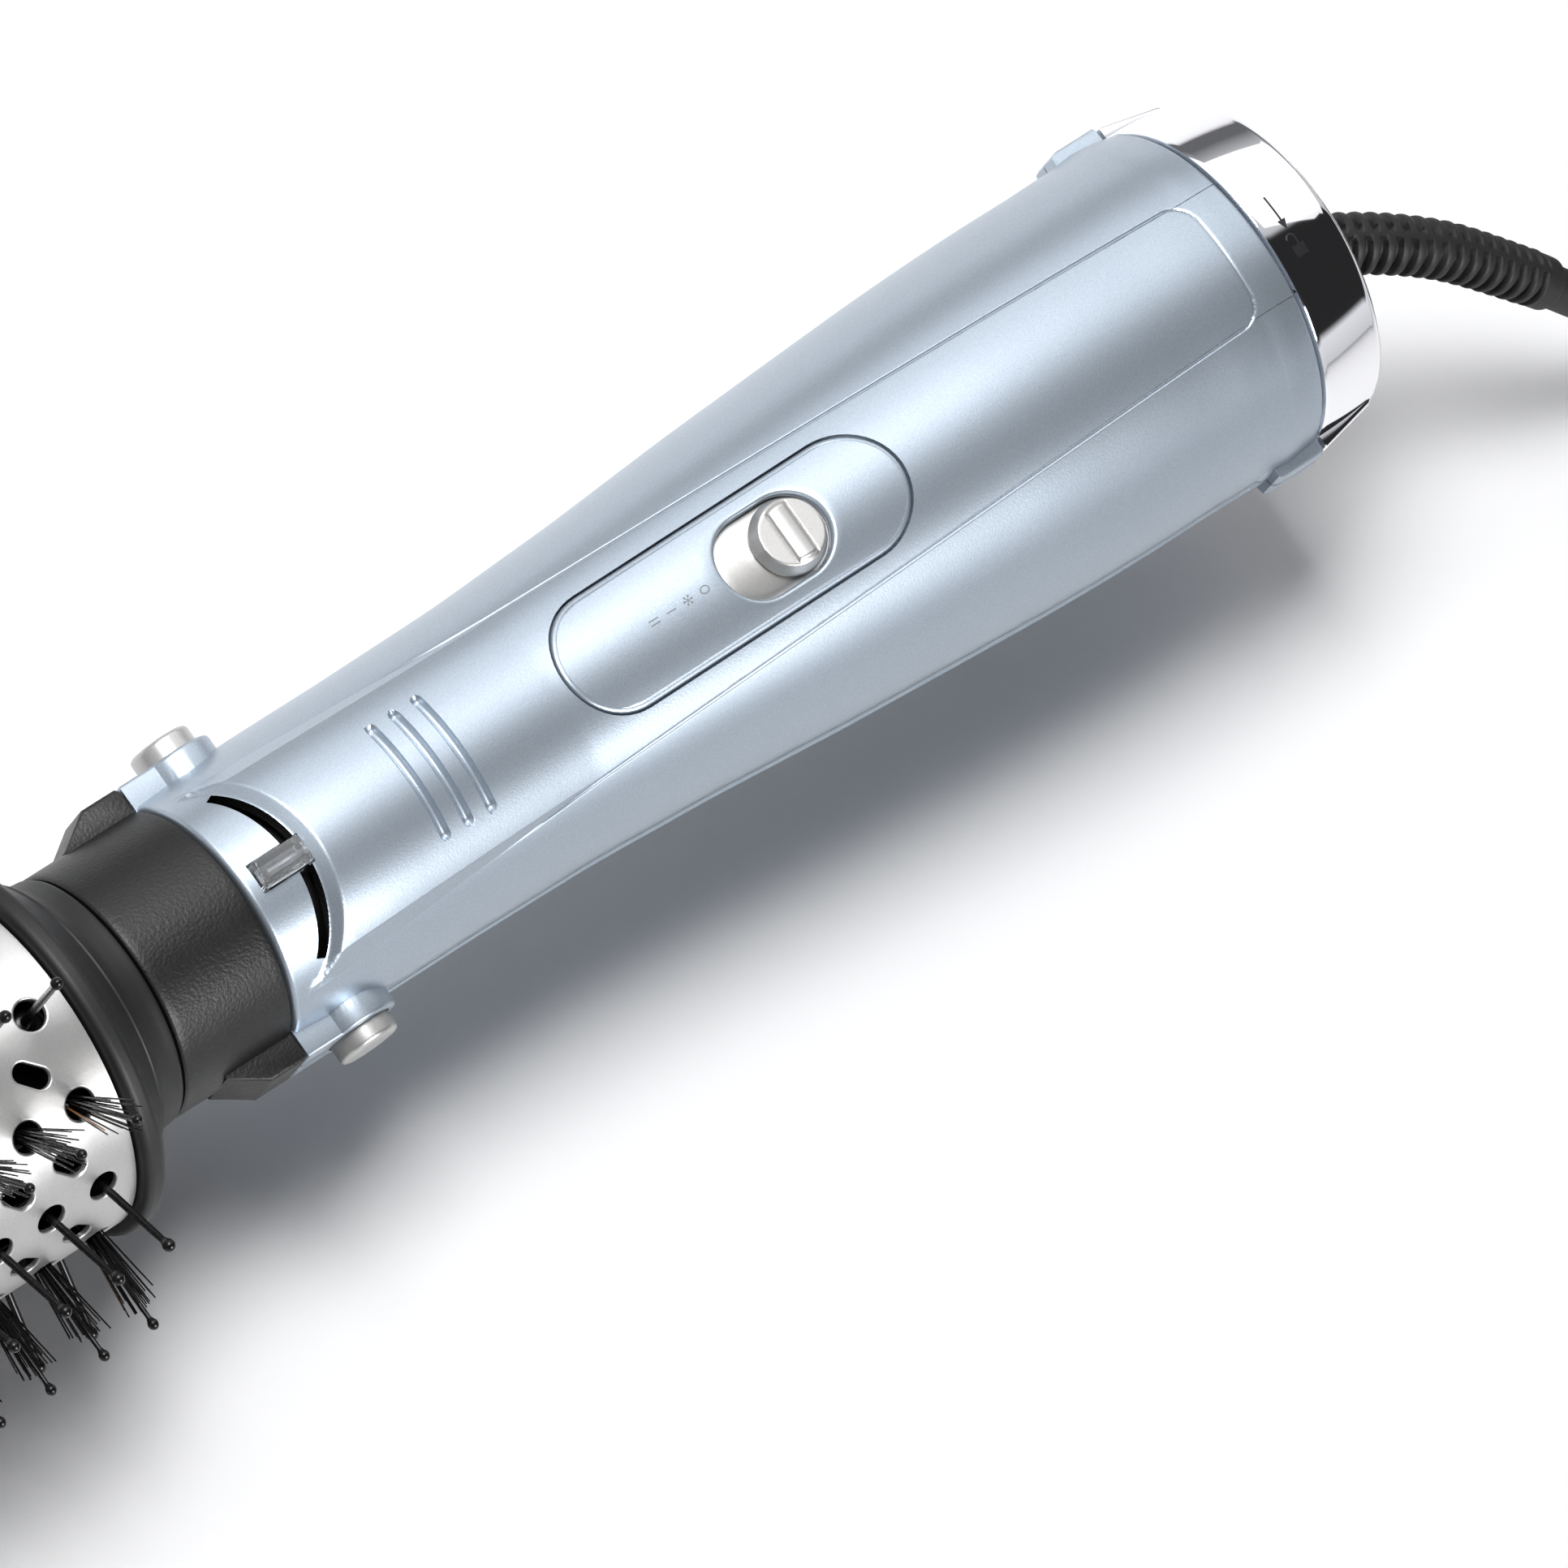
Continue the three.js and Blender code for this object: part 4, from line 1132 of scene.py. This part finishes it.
def stalk(shape, base, tip, radii, sides=8):
    """A round rod along a line, from (distance, radius) pairs, in the strip's own frame."""
    base, tip = Vector(base), Vector(tip)
    way = (tip - base).normalized()
    side = way.cross(Vector((1, 0, 0))).normalized()
    other = way.cross(side)
    loops = []
    for distance, radius in radii:
        centre = base + way * distance
        loops.append([centre + side * radius * math.cos(a) + other * radius * math.sin(a)
                      for a in (2 * math.pi * k / sides for k in range(sides))])
    shape.add(*loft(loops))


def ball_ended(length, foot, tip, ball):
    """Radii along a moulded pin: a taper, then a slightly long ball."""
    radii = [(0, foot), (length * 0.5, (foot + tip) / 2), (length - ball * 2.5, tip)]
    for k in range(1, 8):
        angle = math.pi * (k / 8 * 0.86 + 0.14)
        radii.append((length - ball * 1.12 - ball * 1.12 * math.cos(angle), ball * math.sin(angle)))
    radii.append((length, 0.05))
    return radii


def bristle_strip(row, rng):
    """A bar under the barrel with single ball-tipped pins, or with tufts of fine bristles round a pin."""
    tufted = row % 2 == 1
    last = FIRST_RING - (RINGS - 1) * RING_PITCH
    shape = Shape().add(*block(last - 2.4, FIRST_RING + 2.4, -1.7, 1.7, 20.2, 21.6, 0.2))
    brown = Shape()
    length = PIN_TIP_R - 21
    for ring in range(RINGS):
        x = FIRST_RING - ring * RING_PITCH
        lean = rng.uniform(-0.35, 0.35) if tufted else rng.uniform(-0.15, 0.15)
        size = (0.42, 0.34, 0.72) if tufted else (0.6, 0.46, 0.85)
        stalk(shape, (x, 0, 21), (x + lean, rng.uniform(-0.2, 0.2), PIN_TIP_R), ball_ended(length, *size), 14)
        seat = [(0, 1.75), (0.5, 1.7), (0.8, 1.3), (0.95, 0.6)]
        stalk(shape, (x, 0, 21.3), (x, 0, 23), seat, 16)
        if not tufted:
            continue
        for k in range(24):
            reach = math.sqrt((k + 0.6) / 24)
            around = k * 2.39996 + rng.uniform(-0.3, 0.3)
            spread = math.radians(8.5) * reach * rng.uniform(0.75, 1.2)
            tall = rng.uniform(12.6, 15.0)
            dx, dy = math.cos(around), math.sin(around)
            base = (x + 0.85 * reach * dx, 0.85 * reach * dy, 21.2)
            out = tall * math.tan(spread)
            tip = (base[0] + out * dx, base[1] + out * dy, 21.2 + tall)
            target = brown if k == 17 and ring % 3 == 0 else shape
            stalk(target, base, tip, [(0, 0.14), (tall * 0.6, 0.135), (tall, 0.1)], 5)
    return shape, brown


def add_bristles():
    rng = random.Random(7)
    browns = Shape()
    for row in range(ROWS):
        shape, brown = bristle_strip(row, rng)
        turn = 2 * math.pi * row / ROWS
        node = f"bristle_strip_{row + 1:02d}"
        piece(f"{node}_skin", about_x(shape.points, turn), shape.faces, "bristle_black", "brush_head", node,
              slot="gloss_black", sharp=math.radians(60))
        browns.add(about_x(brown.points, turn), brown.faces)
    piece("brown_bristles", browns.points, browns.faces, "brown_bristle", "brush_head", slot="gloss_black")


# ---- Cord ----
COIL = {"x": 305, "y": -11, "radius": 47, "turns": 3.5625, "across": 6.3, "up": 6.2}
PLUG = {"x": 374, "rear": -23.8, "half": 17.5, "thick": 11, "pin_gap": 19}
RUN_ROUTE = [
    (158, 0, 0), (170, 0, 0), (179, -0.4, 0), (188, -4, -0.4), (199.3, -10.3, -3.2), (211, -18.4, -10),
    (223, -26.6, -19.5), (236, -34, -29), (249, -39.3, -35), (262.5, -43.9, FLOOR + CORD_R),
]
TAIL_ROUTE = [
    (338.5, -54.2, -33), (347, -52.4, -35.2), (357, -48.4, FLOOR + CORD_R), (366, -42, -35),
    (372.4, -34, -30.9), (PLUG["x"], PLUG["rear"] - 1.4, FLOOR + PLUG["thick"]),
]
RELIEF_LENGTH = 66


def curve_through(points, per_span=12):
    """Points along a centripetal Catmull-Rom curve through the given ones."""
    control = [np.array(p, float) for p in points]
    control = [2 * control[0] - control[1]] + control + [2 * control[-1] - control[-2]]
    path = []
    for p0, p1, p2, p3 in zip(control, control[1:], control[2:], control[3:]):
        t0 = 0
        t1 = t0 + math.sqrt(np.linalg.norm(p1 - p0))
        t2 = t1 + math.sqrt(np.linalg.norm(p2 - p1))
        t3 = t2 + math.sqrt(np.linalg.norm(p3 - p2))
        for t in np.linspace(t1, t2, per_span, endpoint=False):
            a1 = (t1 - t) / (t1 - t0) * p0 + (t - t0) / (t1 - t0) * p1
            a2 = (t2 - t) / (t2 - t1) * p1 + (t - t1) / (t2 - t1) * p2
            a3 = (t3 - t) / (t3 - t2) * p2 + (t - t2) / (t3 - t2) * p3
            b1 = (t2 - t) / (t2 - t0) * a1 + (t - t0) / (t2 - t0) * a2
            b2 = (t3 - t) / (t3 - t1) * a2 + (t - t1) / (t3 - t1) * a3
            path.append((t2 - t) / (t2 - t1) * b1 + (t - t1) / (t2 - t1) * b2)
    path.append(control[-2])
    return np.array(path)


def coil_points():
    """Two flat layers of turns: inwards on the table, up one diameter, and outwards again."""
    start, end = math.radians(-125), math.radians(-80)
    per_turn = 24
    low, high = FLOOR + CORD_R, FLOOR + CORD_R + COIL["up"]
    turns = COIL["turns"]
    steps = round(turns * per_turn)
    points = []
    hop = 4
    turned_in = 2 * math.pi * turns
    for k in range(steps + 1):
        t = k / steps
        angle = start + turned_in * t
        radius = COIL["radius"] - COIL["across"] * turns * t
        height = low + COIL["up"] * float(ramp01((k - steps + hop) / hop))
        points.append((COIL["x"] + radius * math.cos(angle), COIL["y"] + radius * math.sin(angle), height))
    whole = math.ceil((angle - end) / (2 * math.pi) + turns - 0.5)
    finish = end + 2 * math.pi * whole
    sweep = finish - angle
    steps_out = round(sweep / (2 * math.pi) * per_turn)
    inner = COIL["radius"] - COIL["across"] * turns
    for k in range(1, steps_out + 1):
        t = k / steps_out
        turn = angle + sweep * t
        radius = inner + (COIL["radius"] - inner) * t
        points.append((COIL["x"] + radius * math.cos(turn), COIL["y"] + radius * math.sin(turn), high))
    return points


def cord_path():
    """The whole cord's centreline from the strain relief's mouth to the plug."""
    run = [p for p in RUN_ROUTE if p[0] > 178]
    return curve_through([(CAP_END, -0.3, 0)] + run + coil_points() + TAIL_ROUTE, 6)


def tube_frames(path):
    """A sideways and an upward vector at each point of a path that never runs straight up."""
    ways = np.gradient(path, axis=0)
    ways /= np.linalg.norm(ways, axis=1)[:, None]
    side = np.cross(ways, [0, 0, 1.0])
    side /= np.linalg.norm(side, axis=1)[:, None]
    return side, np.cross(side, ways)


def add_cord(pieces):
    path = cord_path()
    data = bpy.data.curves.new("mains_cord", "CURVE")
    data.dimensions = "3D"
    data.bevel_depth = CORD_R * MM
    data.bevel_resolution = 5
    data.use_fill_caps = True
    data.materials.append(LOOKS["soft_black"])
    line = data.splines.new("POLY")
    line.points.add(len(path) - 1)
    placed = frame_points(path)
    line.points.foreach_set("co", np.hstack([placed, np.ones((len(placed), 1))]).ravel())
    line.use_smooth = True
    cord = bpy.data.objects.new("mains_cord", data)
    bpy.context.collection.objects.link(cord)
    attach(cord, "handle")
    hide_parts("cord_run", "cord_coil", "cord_tail")


def relief_path():
    path = curve_through(RUN_ROUTE, 60)
    gone = np.concatenate([[0], np.cumsum(np.linalg.norm(np.diff(path, axis=0), axis=1))])
    along = np.arange(0, RELIEF_LENGTH, 0.16)
    return along, np.stack([np.interp(along, gone, path[:, k]) for k in range(3)], axis=-1)


def relief_radius(along, angle):
    """A tapered sleeve with two staggered rows of windows between two solid spines."""
    root = 19.5                                  # where the sleeve comes out of the gland
    pitch = 2.25
    taper = np.clip((along - root) / (RELIEF_LENGTH - root), 0, 1)
    radius = 4.2 - 0.55 * taper
    side = np.sin(angle)
    row = np.where(side > 0, 0.0, 0.5)
    phase = (along - root - 5) / pitch + row
    across = np.abs(phase - np.floor(phase) - 0.5) * pitch
    window = ramp01((0.56 - across) / 0.2) * ramp01((np.abs(side) - 0.1) / 0.16)
    inside = ramp01((along - root - 5) / 0.5) * ramp01((RELIEF_LENGTH - 3.2 - along) / 0.5)
    swell = 0.14 * np.cos(2 * math.pi * phase) * np.clip(np.abs(side) * 1.3 - 0.1, 0, 1) * inside
    end = 0.5 * ramp01((along - RELIEF_LENGTH + 0.8) / 0.8)
    return radius - 1.15 * window * inside + swell - end


def add_strain_relief():
    along, path = relief_path()
    side, up = tube_frames(path)
    angles = np.linspace(0, 2 * math.pi, 56, endpoint=False)
    loops = []
    for station, centre, sideways, upward in zip(along, path, side, up):
        radius = relief_radius(station, angles)
        loops.append([tuple(centre + r * (math.sin(a) * sideways + math.cos(a) * upward))
                      for r, a in zip(radius, angles)])
    return piece("strain_relief_skin", *loft(loops), "soft_black", "handle", "strain_relief",
                 sharp=math.radians(70))


def add_cord_tie():
    """A flat strap round the bundle of turns."""
    inner = COIL["radius"] - COIL["across"] * COIL["turns"] - CORD_R
    outer = COIL["radius"] + CORD_R
    x0, x1 = COIL["x"] - outer - 0.4, COIL["x"] - inner + 0.6
    z0, z1 = FLOOR + 0.1, FLOOR + COIL["up"] + 2 * CORD_R + 0.3
    thick, half = 1.1, 4.4
    path = rounded(rectangle(x0, x1, z0, z1), 5, 8)
    wide = rounded(rectangle(x0 - thick, x1 + thick, z0, z1 + thick), 6, 8)
    loops = []
    for loop, y in [(path, -half + 0.2), (wide, -half), (wide, half), (path, half - 0.2)]:
        loops.append([(x, COIL["y"] + y, z) for x, z in loop])
    return piece("cord_tie_skin", *ring_loft(loops), "soft_black", "handle", "cord_tie")


def add_plug():
    """A flat two-pin plug: a rounded body with a grip waist and a ribbed sleeve."""
    x, z = PLUG["x"], FLOOR + PLUG["thick"]
    half, thick = PLUG["half"], PLUG["thick"]
    near = [(-half, 0), (-half + 2.2, -thick + 2.5), (-half + 8, -thick), (half - 8, -thick),
            (half - 2.2, -thick + 2.5)]
    section = rounded(near + [(-u, -v) for u, v in near], 3.5, 4)
    loops = []
    sleeve = [(-23.8, 3.6), (-23.4, 4.3), (-22.6, 4.45), (-21.9, 3.9), (-21.2, 4.6), (-20.2, 4.8),
              (-19.5, 4.2), (-18.8, 5.0), (-17.6, 5.25), (-16.9, 4.6), (-16.2, 5.4), (-14.4, 6.0), (-13, 6.5)]
    for y, radius in sleeve:
        loops.append([(x + radius * math.cos(a), y, z + radius * math.sin(a))
                      for a in (math.atan2(v, u) for u, v in section)])
    body = [(-12, 0.55), (-11.2, 0.74), (-9.6, 0.88), (-6, 0.955), (-1, 0.93), (4, 0.93), (8, 0.97), (11, 1),
            (13.3, 1), (13.8, 0.985), (14, 0.955)]
    for y, size in body:
        loops.append([(x + u * size, y, z + v * min(1, size + 0.02)) for u, v in section])
    plug = piece("plug_body_skin", *loft(loops), "satin_black", "handle", "plug_body", sharp=math.radians(45))
    pins = [plug]
    for name, sign in [("left", -1), ("right", 1)]:
        at = x + sign * PLUG["pin_gap"] / 2
        profile = [(8.6, 2.3), (9, 2.4), (31.2, 2.4)]
        for a in np.linspace(0.2, math.pi / 2, 6):
            profile.append((31.2 + 1.7 * math.sin(a), 0.7 + 1.7 * math.cos(a)))
        loops = [upright_circle(at, y, z, r) for y, r in profile]
        pins.append(piece(f"plug_pin_{name}_skin", *loft(loops), "brass", "handle", f"plug_pin_{name}"))
        socket = [upright_circle(at, y, z, 2.65) for y in (8.2, 15)]
        boolean(plug, [helper(*loft(socket))])
    finish_mesh(plug, math.radians(45))
    return pins


# ---- CAD nodes that keep their shape ----
def dress_cad_nodes():
    """Every CAD node takes the procedural material that has its slot's name."""
    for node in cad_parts.values():
        for place in node.material_slots:
            place.material = LOOKS[place.material.name.split(".")[0]]


add_camera()
LOOKS = make_materials()
dress_cad_nodes()
add_studio()
relief = add_strain_relief()
add_cord([relief, add_cord_tie(), *add_plug()])
add_shells()
add_switch_plate()
add_slider()
add_knob()
add_switch_marks()
add_buttons()
add_nose()
add_rear_cap()
add_cap_marks()
add_grille()
add_collar()
add_flange()
add_spigot()
add_tip()
add_barrel()
add_bristles()
